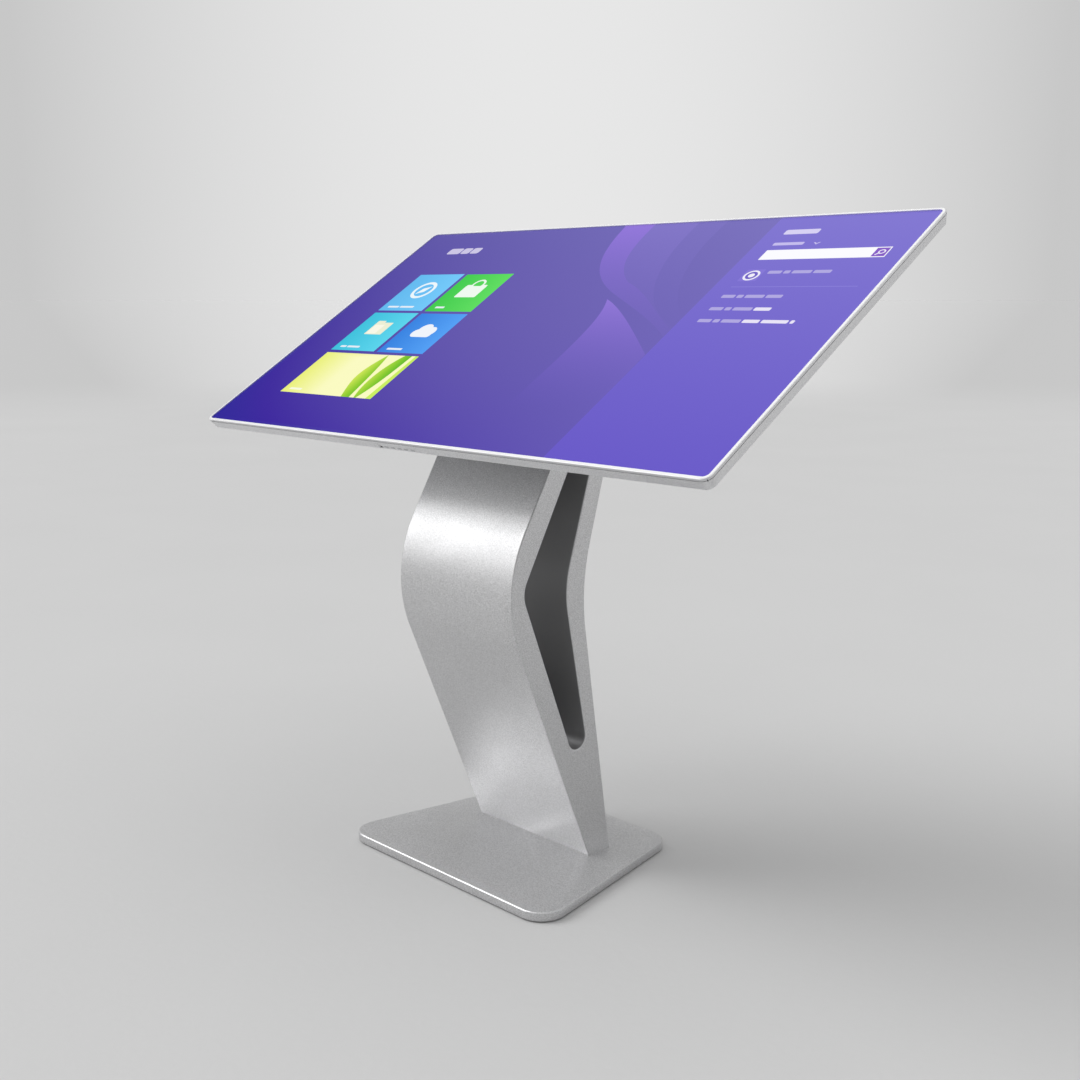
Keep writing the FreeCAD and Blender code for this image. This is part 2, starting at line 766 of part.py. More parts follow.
# --- display: back ------------------------------------------------------------------------
def screw_places(width, height, centre=(0.0, 0.0)):
    """Evenly spaced screws around a rectangle, one near each corner."""
    cx, cy = centre
    places = []
    along = max(2, round(width / screw_pitch))
    for i in range(along + 1):
        x = -width / 2 + width * i / along
        places += [(cx + x, cy - height / 2), (cx + x, cy + height / 2)]
    across = max(2, round(height / screw_pitch))
    for i in range(1, across):
        y = -height / 2 + height * i / across
        places += [(cx - width / 2, cy + y), (cx + width / 2, cy + y)]
    return places


def screw(face_depth, x, y):
    """Pan head on a face, with its shank going forwards into the piece below."""
    head = rod(screw_head_radius, face_depth, face_depth + screw_head_height, x, y)
    rim = [e for e in head.Edges if e.BoundBox.ZMax < -face_depth - screw_head_height + 1e-3]
    head = head.makeFillet(0.7, rim)
    return fuse([head, rod(screw_radius, face_depth - screw_length, face_depth, x, y)])


def cover_screw_places():
    size = side_outline_size(rear_cover_front)
    inset = side_frame_wall * 2 + side_frame_flange_width
    keys_low, keys_high = (key_strip_centre - key_strip_length / 2 - 12,
                           key_strip_centre + key_strip_length / 2 + 12)
    places = screw_places(size[0] - inset, size[1] - inset)
    return [(x, y) for x, y in places if y > 0 or not keys_low < x < keys_high]


def housing_centre():
    return (0.0, (housing_top + housing_bottom) / 2)


def housing_sizes():
    """Outer size where the housing meets the cover, and at its back."""
    height = housing_top - housing_bottom
    return ((housing_width + 2 * housing_draft, height + 2 * housing_draft),
            (housing_width, height))


def housing_screw_places():
    wide, tall = housing_sizes()[0]
    return screw_places(wide + housing_flange, tall + housing_flange, housing_centre())


def make_rear_cover():
    size = side_outline_size(display_thickness)
    shrink = 2 * (side_frame_wall + rear_cover_seam)
    cover = slab(size[0] - shrink, size[1] - shrink, rim_outer_radius - 5,
                 rear_cover_front, display_thickness)
    cover = cover.cut(slab(*rear_cover_opening, 10.0, rear_cover_front, display_thickness,
                           housing_centre()))
    screws = []
    for x, y in cover_screw_places():
        cover = cover.cut(rod(screw_radius + 0.2, rear_cover_front, display_thickness, x, y))
        screws.append(screw(display_thickness, x, y))
    for x, y in housing_screw_places():
        cover = cover.cut(rod(screw_radius + 0.1, rear_cover_front, display_thickness, x, y))
    keep_on_display("rear_cover", cover)
    keep_on_display("cover_screws", *screws)
    frame = parts["side_frame"]
    for x, y in cover_screw_places():
        hole = rod(screw_radius + 0.1, rear_cover_front - side_frame_wall,
                   rear_cover_front, x, y)
        frame = frame.cut(hole.transformed(display_place.toMatrix(), True))
    parts["side_frame"] = frame


def make_frame_brackets():
    """Spacers that carry the panel's backplate on the side frame's flange."""
    size = side_outline_size(rear_cover_front)
    flange_front = rear_cover_front - side_frame_wall
    brackets = []
    x_far = size[0] / 2 - side_frame_wall - 5
    y_far = size[1] / 2 - side_frame_wall - 5
    for x, y, wide in ((-0.36, -1, True), (0.36, -1, True), (-0.36, 1, True), (0.0, 1, True),
                       (0.36, 1, True), (-1, 0.55, False), (-1, -0.55, False),
                       (1, 0.55, False), (1, -0.55, False)):
        width, height = (frame_bracket_width, 8.0) if wide else (8.0, frame_bracket_width)
        brackets.append(slab(width, height, 1.0, backplate_back, flange_front,
                             (x * x_far, y * y_far)))
    keep_on_display("frame_brackets", *brackets)


# --- rear housing ---------------------------------------------------------------------------
def vent_slots(x, y, half_width, half_height, near, far, round_vent):
    """Row of parallel slots through a wall; a round vent shortens the outer ones."""
    slots = []
    count = int(half_height / vent_slot_pitch)
    for i in range(-count, count + 1):
        offset = i * vent_slot_pitch
        reach = half_width
        if round_vent:
            reach = math.sqrt(max(half_height ** 2 - offset ** 2, 0))
        if reach > vent_slot_width * 1.5:
            slots.append(slab(2 * reach, vent_slot_width, vent_slot_width / 2 - 0.01,
                              near, far, (x, y + offset)))
    return slots


def door_centre():
    return (0.0, door_centre_y)


def door_opening_size():
    return (door_width - 2 * door_overlap, door_height - 2 * door_overlap)


def head_row_places():
    """The two rows of head bolts, as heights up the screen."""
    low = display_place.inverse().multVec(head_point(column_front, sheet_thickness, housing_back)).y
    high = display_place.inverse().multVec(
        head_point(column_rear, -sheet_thickness, housing_back + head_plate_thickness)).y
    return low + head_bolt_row_inset, high - head_bolt_row_inset


def head_bolt_places():
    return [(x, y) for x in head_bolt_columns for y in head_row_places()]


def make_housing(cable_hole):
    centre = housing_centre()
    near, far = housing_sizes()
    wall = 2 * housing_wall
    outer = tapered(near, far, housing_corner_radius + housing_draft / 2,
                    housing_corner_radius, display_thickness, housing_back, centre)
    inner = tapered((near[0] - wall, near[1] - wall), (far[0] - wall, far[1] - wall),
                    housing_corner_radius + housing_draft / 2 - housing_wall,
                    housing_corner_radius - housing_wall,
                    display_thickness, housing_back - housing_wall, centre)
    flange = slab(near[0] + 2 * housing_flange, near[1] + 2 * housing_flange,
                  housing_corner_radius + housing_flange, display_thickness,
                  display_thickness + housing_wall, centre)
    housing = fuse([outer, flange]).cut(inner)
    wall_near, wall_far = housing_back - housing_wall, housing_back
    cuts = [slab(*door_opening_size(), door_corner_radius, wall_near, wall_far, door_centre())]
    for side in (-1, 1):
        cuts += vent_slots(side * fan_offset, fan_centre_y, fan_duct_radius, fan_duct_radius,
                           wall_near, wall_far, True)
        cuts += vent_slots(side * speaker_offset, speaker_centre_y, speaker_length / 2 - 8,
                           speaker_height / 2 - 6, wall_near, wall_far, False)
    cuts.append(slab(switch_length, switch_height, 1.0, wall_near, wall_far,
                     (switch_offset, switch_centre_y)))
    for x, y in head_bolt_places():
        cuts.append(rod(head_bolt_radius + 0.3, wall_near, wall_far, x, y))
    for x, y in housing_screw_places():
        cuts.append(rod(screw_radius + 0.2, display_thickness,
                        display_thickness + housing_wall, x, y))
    for cut in cuts:
        housing = housing.cut(cut)
    housing = housing.transformed(display_place.toMatrix(), True).cut(cable_hole)
    keep("rear_housing", housing)
    keep_on_display("housing_screws", *[screw(display_thickness + housing_wall, x, y)
                                        for x, y in housing_screw_places()])


def make_mounting(cable_hole):
    rails = []
    for side in (-1, 1):
        height = rail_top - rail_bottom
        centre = (side * rail_offset, (rail_top + rail_bottom) / 2)
        tube = slab(rail_width, height, 0.0, backplate_back, mounting_front, centre)
        bore = slab(rail_width - 2 * rail_wall, height + 2, 0.0, backplate_back + rail_wall,
                    mounting_front - rail_wall, centre)
        rails.append(tube.cut(bore))
    keep_on_display("mounting_rails", *rails)
    low, high = head_row_places()
    height = high - low + 2 * mounting_plate_margin
    plate = slab(mounting_plate_width, height, 6.0, mounting_front, mounting_back,
                 (0.0, (low + high) / 2))
    head = column_cavity().common(
        slab(column_width, 400, 0.0, housing_back, housing_back + head_plate_thickness,
             (0.0, (low + high) / 2)).transformed(display_place.toMatrix(), True))
    bolts = []
    for x, y in head_bolt_places():
        plate = plate.cut(rod(head_bolt_radius + 0.3, mounting_front, mounting_back, x, y))
        hole = rod(head_bolt_radius + 0.1, housing_back,
                   housing_back + head_plate_thickness, x, y)
        head = head.cut(hole.transformed(display_place.toMatrix(), True))
        cap = rod(head_bolt_head_radius, mounting_front - 2 * head_bolt_radius,
                  mounting_front, x, y)
        shank = rod(head_bolt_radius, mounting_front - 1,
                    housing_back + head_plate_thickness - 0.5, x, y)
        bolts.append(fuse([cap, shank]))
    plate = plate.transformed(display_place.toMatrix(), True).cut(cable_hole)
    keep("mounting_plate", plate)
    keep("head_plate", head.cut(cable_hole))
    keep_on_display("head_bolts", *bolts)


# --- service door ----------------------------------------------------------------------------
def hinge_centres():
    return [door_centre_y - hinge_spacing / 2, door_centre_y + hinge_spacing / 2]


def hinge_barrel(y0, y1, radius):
    """Round bar along the door's hinge axis."""
    return Part.makeCylinder(radius, y1 - y0, Vector(hinge_axis_x, y0, -hinge_axis_depth),
                             Vector(0, 1, 0))


def hinge_leaf(y0, y1, side, back_face):
    """Leaf that lies on a face and rises into its knuckle."""
    reach = side * hinge_leaf_width
    x0, x1 = sorted((hinge_axis_x, hinge_axis_x + reach))
    return block(x0, x1, y0, y1, -back_face - hinge_leaf_thickness, -back_face)


def make_door():
    door_front = housing_back + door_gap
    door_back = door_front + door_thickness
    door = slab(door_width, door_height, door_corner_radius, door_front, door_back, door_centre())
    lock_x = -door_width / 2 + lock_inset + door_overlap
    door = door.cut(rod(lock_radius + lock_sleeve_wall, door_front, door_back,
                        lock_x, door_centre_y))
    third = hinge_length / 3
    moving, fixed, pins = [], [], []
    room = hinge_knuckle_radius + hinge_gap
    for y in hinge_centres():
        low, high = y - third / 2, y + third / 2
        bore = hinge_barrel(y - hinge_length, y + hinge_length, hinge_pin_radius + hinge_fit)
        leaf = hinge_leaf(low, high, -1, door_back)
        sweep = hinge_barrel(low, high, hinge_knuckle_radius)
        moving.append(fuse([leaf, sweep]).cut(bore))
        fixed_pieces = []
        for a, b in ((y - hinge_length / 2, low - hinge_gap), (high + hinge_gap, y + hinge_length / 2)):
            fixed_pieces.append(hinge_barrel(a, b, hinge_knuckle_radius))
            fixed_pieces.append(hinge_leaf(a, b, 1, housing_back))
        gap_leaf = block(hinge_axis_x + room, hinge_axis_x + hinge_leaf_width,
                         low - hinge_gap, high + hinge_gap,
                         -housing_back - hinge_leaf_thickness, -housing_back)
        fixed_pieces.append(gap_leaf)
        fixed.append(fuse(fixed_pieces).cut(bore))
        pins.append(hinge_barrel(y - hinge_length / 2, y + hinge_length / 2, hinge_pin_radius))
    keep_on_display("service_door", door)
    keep_on_display("door_hinge_leaves", *moving)
    keep_on_display("housing_hinge_leaves", *fixed)
    keep_on_display("hinge_pins", *pins)
    sleeve = rod(lock_radius + lock_sleeve_wall, door_front - lock_sleeve_reach, door_back,
                 lock_x, door_centre_y)
    collar = rod(lock_head_radius, door_back, door_back + 1.0, lock_x, door_centre_y)
    bore = rod(lock_radius + lock_fit, door_front - lock_length - 1, door_back + 2,
               lock_x, door_centre_y)
    keep_on_display("lock_sleeve", fuse([sleeve, collar]).cut(bore))
    barrel = rod(lock_radius, door_front - lock_length, door_back + 1.0 + lock_head_height,
                 lock_x, door_centre_y)
    keyway = slab(1.6, 8.0, 0.0, door_back + 1.0 + lock_head_height - 3,
                  door_back + 2 + lock_head_height, (lock_x, door_centre_y))
    cam_far = door_front - lock_length
    cam = slab(cam_width, cam_length, cam_width / 2 - 0.01, cam_far - cam_thickness, cam_far,
               (lock_x, door_centre_y + cam_length / 2 - cam_width / 2))
    keep_on_display("lock_cylinder", barrel.cut(keyway))
    keep_on_display("lock_cam", cam)


# --- fans, speakers and switch -----------------------------------------------------------------
def make_fans():
    near = housing_back - housing_wall - fan_depth
    far = housing_back - housing_wall
    middle = (near + far) / 2
    for side, name in ((-1, "left"), (1, "right")):
        x, y = side * fan_offset, fan_centre_y
        frame = slab(fan_size, fan_size, 4.0, near, far, (x, y))
        frame = frame.cut(rod(fan_duct_radius, near, far, x, y))
        carrier = [frame, rod(fan_hub_radius, near, near + 3, x, y)]
        for angle in (45, 135, 225, 315):
            arm = block(0, fan_size / 2 + 4, -2, 2, -near - 3, -near)
            arm.rotate(Vector(0, 0, 0), Vector(0, 0, 1), angle)
            arm.translate(Vector(x, y, 0))
            carrier.append(arm)
        bearing = rod(fan_shaft_radius * 2, near, near + 8, x, y)
        shaft_bore = rod(fan_shaft_radius + fan_shaft_fit, near - 1, near + 9, x, y)
        keep_on_display("fan_frame_" + name, fuse(carrier + [bearing]).cut(shaft_bore))
        cup = rod(fan_hub_radius, near + 3.6, far - 2.5, x, y)
        cup = cup.cut(rod(fan_shaft_radius * 2 + 1.0, near + 3, near + 9, x, y))
        pieces = [cup, rod(fan_shaft_radius, near + 1, near + 10, x, y)]
        for i in range(fan_blades):
            depth = far - near - 9
            chord = depth / math.cos(math.radians(fan_blade_pitch))
            blade = block(fan_hub_radius - 2, fan_rotor_radius + 4, -fan_blade_thickness / 2,
                          fan_blade_thickness / 2, -chord / 2, chord / 2)
            blade.rotate(Vector(0, 0, 0), Vector(1, 0, 0), fan_blade_pitch)
            blade.rotate(Vector(0, 0, 0), Vector(0, 0, 1), 360 * i / fan_blades)
            blade.translate(Vector(x, y, -middle - 0.5))
            pieces.append(blade.common(rod(fan_rotor_radius, near + 4, far - 2.5, x, y)))
        keep_on_display("fan_rotor_" + name, fuse(pieces))


def make_speakers():
    far = housing_back - housing_wall
    near = far - speaker_depth
    for side, name in ((-1, "left"), (1, "right")):
        centre = (side * speaker_offset, speaker_centre_y)
        frame = slab(speaker_length, speaker_height, 6.0, far - 3, far, centre)
        basket = tapered((speaker_length - 30, speaker_height - 22),
                         (speaker_length - 12, speaker_height - 10), 12.0, 18.0,
                         near + 6, far - 3, centre)
        magnet = rod(15.0, near, near + 6, *centre)
        cone = tapered((speaker_length - 50, speaker_height - 34),
                       (speaker_length - 18, speaker_height - 16), 8.0, 16.0,
                       near + 9, far, centre)
        keep_on_display("speaker_" + name, fuse([frame, basket, magnet]).cut(cone))


def rocker_axis_depth():
    return housing_back - 1.0


def make_switch():
    centre = (switch_offset, switch_centre_y)
    near = housing_back - switch_depth
    rim_far = housing_back + 1.6
    body = slab(switch_length - 0.6, switch_height - 0.6, 0.7, near, housing_back, centre)
    rim = slab(switch_length + switch_rim, switch_height + switch_rim, 2.0,
               housing_back, rim_far, centre)
    well = slab(rocker_length + 2 * rocker_fit + 2, rocker_width + 2 * rocker_fit, 0.0,
                housing_back - 8, rim_far + 1, centre)
    bore = Part.makeCylinder(rocker_pin_radius + rocker_pin_fit, rocker_width + 5.4,
                             Vector(switch_offset, switch_centre_y - rocker_width / 2 - 2.7,
                                    -rocker_axis_depth()), Vector(0, 1, 0))
    keep_on_display("switch_body", fuse([body, rim]).cut(well).cut(bore))
    axis = Vector(switch_offset, switch_centre_y, -rocker_axis_depth())
    half = rocker_length / 2
    top = -4.2
    points = [Vector(-half, 0, 0), Vector(-half, 0, top), Vector(0, 0, top + 1.4),
              Vector(half, 0, top), Vector(half, 0, 0), Vector(0, 0, 4.5)]
    face = Part.Face(Part.makePolygon(points + points[:1]))
    rocker = face.extrude(Vector(0, rocker_width, 0))
    rocker.translate(Vector(0, -rocker_width / 2, 0))
    pin = Part.makeCylinder(rocker_pin_radius, rocker_width + 5,
                            Vector(0, -rocker_width / 2 - 2.5, 0), Vector(0, 1, 0))
    rocker = fuse([rocker, pin])
    rocker.rotate(Vector(0, 0, 0), Vector(0, 1, 0), -rocker_tilt / 2)
    rocker.translate(axis)
    keep_on_display("mains_rocker", rocker)


# --- electronics ---------------------------------------------------------------------------------
def circuit_board(size, centre, chips):
    """Board on four stand-offs, with blocks for its larger components."""
    near = backplate_back + board_standoff
    pieces = [slab(*size, 2.0, near, near + board_thickness, centre)]
    for a in (-1, 1):
        for b in (-1, 1):
            pieces.append(rod(board_standoff_radius, backplate_back, near,
                              centre[0] + a * (size[0] / 2 - 6), centre[1] + b * (size[1] / 2 - 6)))
    for x, y, width, height, rise in chips:
        pieces.append(slab(width, height, 0.0, near + board_thickness,
                           near + board_thickness + rise,
                           (centre[0] + x * size[0], centre[1] + y * size[1])))
    return fuse(pieces)


def heat_sink():
    """Finned block on the main board's processor."""
    base = backplate_back + board_standoff + board_thickness + 2.4
    x, y = main_board_centre
    fins = [slab(52, 52, 0.0, base, base + 3, (x, y))]
    for i in range(9):
        fins.append(slab(52, 1.6, 0.0, base + 3, base + 15, (x, y - 24 + i * 6)))
    return fuse(fins)


def make_electronics():
    chips = ((0, 0, 34, 34, 2.4), (-0.3, 0.2, 30, 22, 3), (0.3, 0.2, 26, 18, 3),
             (-0.33, -0.38, 60, 10, 9), (0.05, -0.4, 46, 9, 8), (0.34, -0.36, 34, 14, 12),
             (-0.36, 0.38, 24, 8, 5))
    keep_on_display("main_board", circuit_board(main_board_size, main_board_centre, chips))
    keep_on_display("heat_sink", heat_sink())
    keep_on_display("backlight_board", circuit_board(
        backlight_board_size, backlight_board_centre,
        ((-0.28, 0.1, 26, 24, 16), (0.06, 0.15, 20, 20, 12), (0.32, 0.0, 14, 40, 8))))
    keep_on_display("touch_board", circuit_board(
        touch_board_size, touch_board_centre, ((0, 0, 18, 18, 2), (-0.36, 0, 8, 30, 6))))
    for name, size, centre in (("power_supply", power_supply_box, power_supply_centre),
                               ("media_player", player_box, player_centre)):
        width, height, depth = size
        case = slab(width, height, 3.0, backplate_back, backplate_back + depth, centre)
        back = [e for e in case.Edges if e.BoundBox.ZMax < -backplate_back - depth + 1e-3]
        case = case.makeChamfer(1.0, back)
        for i in range(-5, 6):
            case = case.cut(slab(2.6, height * 0.5, 1.2, backplate_back + depth - 1.2,
                                 backplate_back + depth + 1, (centre[0] + i * 9, centre[1])))
        keep_on_display(name, case)


# --- whole kiosk ------------------------------------------------------------------------------------
cable_clearance = cable_sweep(cable_hole_radius)
make_base()
make_column()
make_column_inside(cable_clearance)
make_mains_entry()
make_front_frame()
make_panel()
make_side_frame()
make_keys()
make_rear_cover()
make_frame_brackets()
make_housing(cable_clearance)
make_mounting(cable_clearance)
make_door()
make_fans()
make_speakers()
make_switch()
make_electronics()

os.makedirs("parts", exist_ok=True)
for part_name, part_shape in parts.items():
    part_shape.exportStep(os.path.join("parts", part_name + ".step"))
print(len(parts), "nodes")
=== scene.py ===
"""Freestanding touch kiosk: tilted flat display on a slotted steel column and floor plate."""

import json
import math

import bmesh
import bpy
from mathutils import Matrix, Vector
from mathutils.geometry import delaunay_2d_cdt, interpolate_bezier


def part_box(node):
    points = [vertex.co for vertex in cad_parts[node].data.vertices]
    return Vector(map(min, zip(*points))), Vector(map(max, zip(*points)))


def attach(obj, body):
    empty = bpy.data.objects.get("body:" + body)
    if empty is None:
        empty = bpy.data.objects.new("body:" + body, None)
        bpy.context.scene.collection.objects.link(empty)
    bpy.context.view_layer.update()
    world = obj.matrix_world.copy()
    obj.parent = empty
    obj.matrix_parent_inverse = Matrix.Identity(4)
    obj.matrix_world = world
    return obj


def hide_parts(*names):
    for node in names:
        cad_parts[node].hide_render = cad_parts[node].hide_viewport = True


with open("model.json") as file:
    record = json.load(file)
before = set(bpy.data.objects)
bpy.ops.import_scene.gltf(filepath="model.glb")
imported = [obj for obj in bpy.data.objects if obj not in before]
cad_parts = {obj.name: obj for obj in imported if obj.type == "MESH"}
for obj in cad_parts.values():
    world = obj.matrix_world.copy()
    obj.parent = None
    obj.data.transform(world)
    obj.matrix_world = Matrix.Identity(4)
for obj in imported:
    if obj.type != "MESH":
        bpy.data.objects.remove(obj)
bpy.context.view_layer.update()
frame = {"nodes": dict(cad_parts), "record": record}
mm = 0.001


# --- The set -------------------------------------------------------------------
# A pale seamless floor that runs away to a light grey surround. One broad soft
# light stands to the front left, and the surround fills the shadows.
def colour(red, green, blue):
    """Linear colour from 0-255 sRGB values."""
    parts = [c / 255 for c in (red, green, blue)]
    return tuple(c / 12.92 if c <= 0.04045 else ((c + 0.055) / 1.055) ** 2.4
                 for c in parts) + (1.0,)


def finish_of(name, sockets):
    """New finish with one Principled shader; sockets are the values alike all over."""
    finish = bpy.data.materials.new(name)
    finish.use_nodes = True
    shader = finish.node_tree.nodes["Principled BSDF"]
    for label, value in sockets.items():
        shader.inputs[label].default_value = value
    return finish, finish.node_tree, shader


def grain(tree, scale, detail=3.0, stretch=(1.0, 1.0, 1.0)):
    """Noise in the object's own coordinates, with this many cells to the metre."""
    place = tree.nodes.new("ShaderNodeTexCoord")
    mapping = tree.nodes.new("ShaderNodeMapping")
    mapping.inputs["Scale"].default_value = stretch
    noise = tree.nodes.new("ShaderNodeTexNoise")
    noise.inputs["Scale"].default_value = scale
    noise.inputs["Detail"].default_value = detail
    tree.links.new(place.outputs["Object"], mapping.inputs["Vector"])
    tree.links.new(mapping.outputs["Vector"], noise.inputs["Vector"])
    return noise.outputs["Fac"]


def spread(tree, value, low, high, target, edges=(0.3, 0.7)):
    """Feed a socket with numbers from low to high as the value runs between edges."""
    scale = tree.nodes.new("ShaderNodeMapRange")
    scale.interpolation_type = "SMOOTHSTEP"
    for label, number in zip(("From Min", "From Max", "To Min", "To Max"),
                             (*edges, low, high)):
        scale.inputs[label].default_value = number
    tree.links.new(value, scale.inputs["Value"])
    tree.links.new(scale.outputs["Result"], target)


def tint(tree, value, dark, light, target, edges=(0.3, 0.7)):
    """Feed a colour socket with a blend of two colours."""
    ramp = tree.nodes.new("ShaderNodeValToRGB")
    ramp.color_ramp.elements[0].position, ramp.color_ramp.elements[1].position = edges
    ramp.color_ramp.elements[0].color, ramp.color_ramp.elements[1].color = dark, light
    tree.links.new(value, ramp.inputs["Fac"])
    tree.links.new(ramp.outputs["Color"], target)


def relief(tree, value, depth, shader, strength=1.0):
    """Give the surface fine relief of this depth in metres."""
    bump = tree.nodes.new("ShaderNodeBump")
    bump.inputs["Strength"].default_value = strength
    bump.inputs["Distance"].default_value = depth
    tree.links.new(value, bump.inputs["Height"])
    tree.links.new(bump.outputs["Normal"], shader.inputs["Normal"])


def dimming(tree, direction, near, far, darker, lighter):
    """Grey that brightens as a direction turns towards the glow behind the kiosk."""
    level = tree.nodes.new("ShaderNodeVectorMath")
    level.operation = "MULTIPLY"
    level.inputs[1].default_value = (1.0, 1.0, 0.0)
    tree.links.new(direction, level.inputs[0])
    unit = tree.nodes.new("ShaderNodeVectorMath")
    unit.operation = "NORMALIZE"
    tree.links.new(level.outputs["Vector"], unit.inputs[0])
    facing = tree.nodes.new("ShaderNodeVectorMath")
    facing.operation = "DOT_PRODUCT"
    facing.inputs[1].default_value = glow_towards
    tree.links.new(unit.outputs["Vector"], facing.inputs[0])
    scale = tree.nodes.new("ShaderNodeMapRange")
    scale.inputs["From Min"].default_value, scale.inputs["From Max"].default_value = near, far
    tree.links.new(facing.outputs["Value"], scale.inputs["Value"])
    ramp = tree.nodes.new("ShaderNodeValToRGB")
    ramp.color_ramp.elements[0].color = (darker, darker, darker, 1)
    ramp.color_ramp.elements[1].color = (lighter, lighter, lighter, 1)
    tree.links.new(scale.outputs["Result"], ramp.inputs["Fac"])
    return ramp.outputs["Color"]


def blended(tree, amount, first, second, target):
    """Feed a colour socket with two colours mixed by an amount."""
    mix = tree.nodes.new("ShaderNodeMix")
    mix.data_type = "RGBA"
    tree.links.new(amount, mix.inputs["Factor"])
    tree.links.new(first, mix.inputs[6])
    tree.links.new(second, mix.inputs[7])
    tree.links.new(mix.outputs[2], target)


glow_towards = Vector((-0.7105, 0.7037, 0.0)).normalized()
floor_radius, cove_start, cove_end = 400.0, 9.0, 15.0
floor_finish, tree, shader = finish_of("seamless_floor", {"Roughness": 0.9,
                                                          "Specular IOR Level": 0.1})
paper = tree.nodes.new("ShaderNodeValToRGB")
paper.color_ramp.elements[0].color = colour(203, 203, 203)
paper.color_ramp.elements[1].color = colour(207, 207, 207)
tree.links.new(grain(tree, 1.4, 4.0), paper.inputs["Fac"])
from_middle = tree.nodes.new("ShaderNodeTexCoord")
reach = tree.nodes.new("ShaderNodeVectorMath")
reach.operation = "LENGTH"
tree.links.new(from_middle.outputs["Object"], reach.inputs[0])
fade = tree.nodes.new("ShaderNodeMapRange")
fade.interpolation_type = "SMOOTHSTEP"
fade.inputs["From Min"].default_value = cove_start
fade.inputs["From Max"].default_value = cove_end
tree.links.new(reach.outputs["Value"], fade.inputs["Value"])
blended(tree, fade.outputs["Result"], paper.outputs["Color"],
        dimming(tree, from_middle.outputs["Object"], 0.935, 1.0, 0.565, 0.79),
        shader.inputs["Base Color"])
relief(tree, grain(tree, 60.0), 0.0006, shader)
sweep = bmesh.new()
bmesh.ops.create_circle(sweep, cap_ends=True, segments=96, radius=floor_radius)
floor_mesh = bpy.data.meshes.new("floor")
sweep.to_mesh(floor_mesh)
floor_mesh.materials.append(floor_finish)
floor = bpy.data.objects.new("floor", floor_mesh)
bpy.context.scene.collection.objects.link(floor)

# Each lamp: where it stands, its strength and how many degrees wide it looks.
for name, stand, strength, width in (("key_light", (-0.64, -0.42, 0.69), 1.14, 37.0),
                                     ("low_light", (-0.697, -0.625, 0.354), 0.42, 30.0),
                                     ("side_light", (0.68, 0.70, 0.22), 0.22, 44.0)):
    lamp = bpy.data.lights.new(name, "SUN")
    lamp.energy, lamp.angle = strength, math.radians(width)
    stood = bpy.data.objects.new(name, lamp)
    stood.rotation_euler = (-Vector(stand)).to_track_quat("-Z", "Y").to_euler()
    bpy.context.scene.collection.objects.link(stood)

dark_ceiling, overhead = 0.30, 1.05
world = bpy.data.worlds.new("surround")
bpy.context.scene.world = world
world.use_nodes = True
tree = world.node_tree
heading = tree.nodes.new("ShaderNodeTexCoord")
parts = tree.nodes.new("ShaderNodeSeparateXYZ")
tree.links.new(heading.outputs["Generated"], parts.inputs["Vector"])
rise = tree.nodes.new("ShaderNodeMapRange")
rise.interpolation_type = "SMOOTHSTEP"
rise.inputs["From Min"].default_value, rise.inputs["From Max"].default_value = 0.21, 0.34
tree.links.new(parts.outputs["Z"], rise.inputs["Value"])
canopy = tree.nodes.new("ShaderNodeValToRGB")
canopy.color_ramp.interpolation = "EASE"
canopy.color_ramp.elements[0].position = 0.45
canopy.color_ramp.elements[0].color = (dark_ceiling, dark_ceiling, dark_ceiling, 1)
canopy.color_ramp.elements[1].position = 0.92
canopy.color_ramp.elements[1].color = (overhead, overhead, overhead, 1)
tree.links.new(parts.outputs["Z"], canopy.inputs["Fac"])
blended(tree, rise.outputs["Result"],
        dimming(tree, heading.outputs["Generated"], 0.935, 1.0, 0.575, 0.80),
        canopy.outputs["Color"], tree.nodes["Background"].inputs["Color"])
bpy.context.scene.view_settings.view_transform = "Standard"

view_bearing, view_height = 45.28, 10.41
bearing, height = math.radians(view_bearing), math.radians(view_height)
look = Vector((-math.sin(bearing) * math.cos(height), math.cos(bearing) * math.cos(height),
               -math.sin(height)))
lens = bpy.data.cameras.new("camera")
lens.lens, lens.sensor_width, lens.clip_end = 44.14, 36.0, 2000.0
camera = bpy.data.objects.new("camera", lens)
camera.location = (1.658, -1.590, 0.997)
camera.rotation_euler = look.to_track_quat("-Z", "Y").to_euler()
bpy.context.scene.collection.objects.link(camera)
bpy.context.scene.camera = camera


# --- Floor pads ----------------------------------------------------------------
# Five moulded rubber discs glued into shallow recesses under the floor plate.
def dress(finish, *names):
    """Put a finish on pieces that keep the shape they were designed with."""
    for name in names:
        for place in frame["nodes"][name].material_slots:
            place.material = finish


rubber, tree, shader = finish_of("pad_rubber", {"Specular IOR Level": 0.3})
tint(tree, grain(tree, 220.0), colour(26, 26, 27), colour(44, 44, 45),
     shader.inputs["Base Color"])
spread(tree, grain(tree, 60.0), 0.62, 0.82, shader.inputs["Roughness"])
relief(tree, grain(tree, 1800.0), 0.00015, shader)
dress(rubber, "floor_pads", "cable_grommet", "seam_gasket")


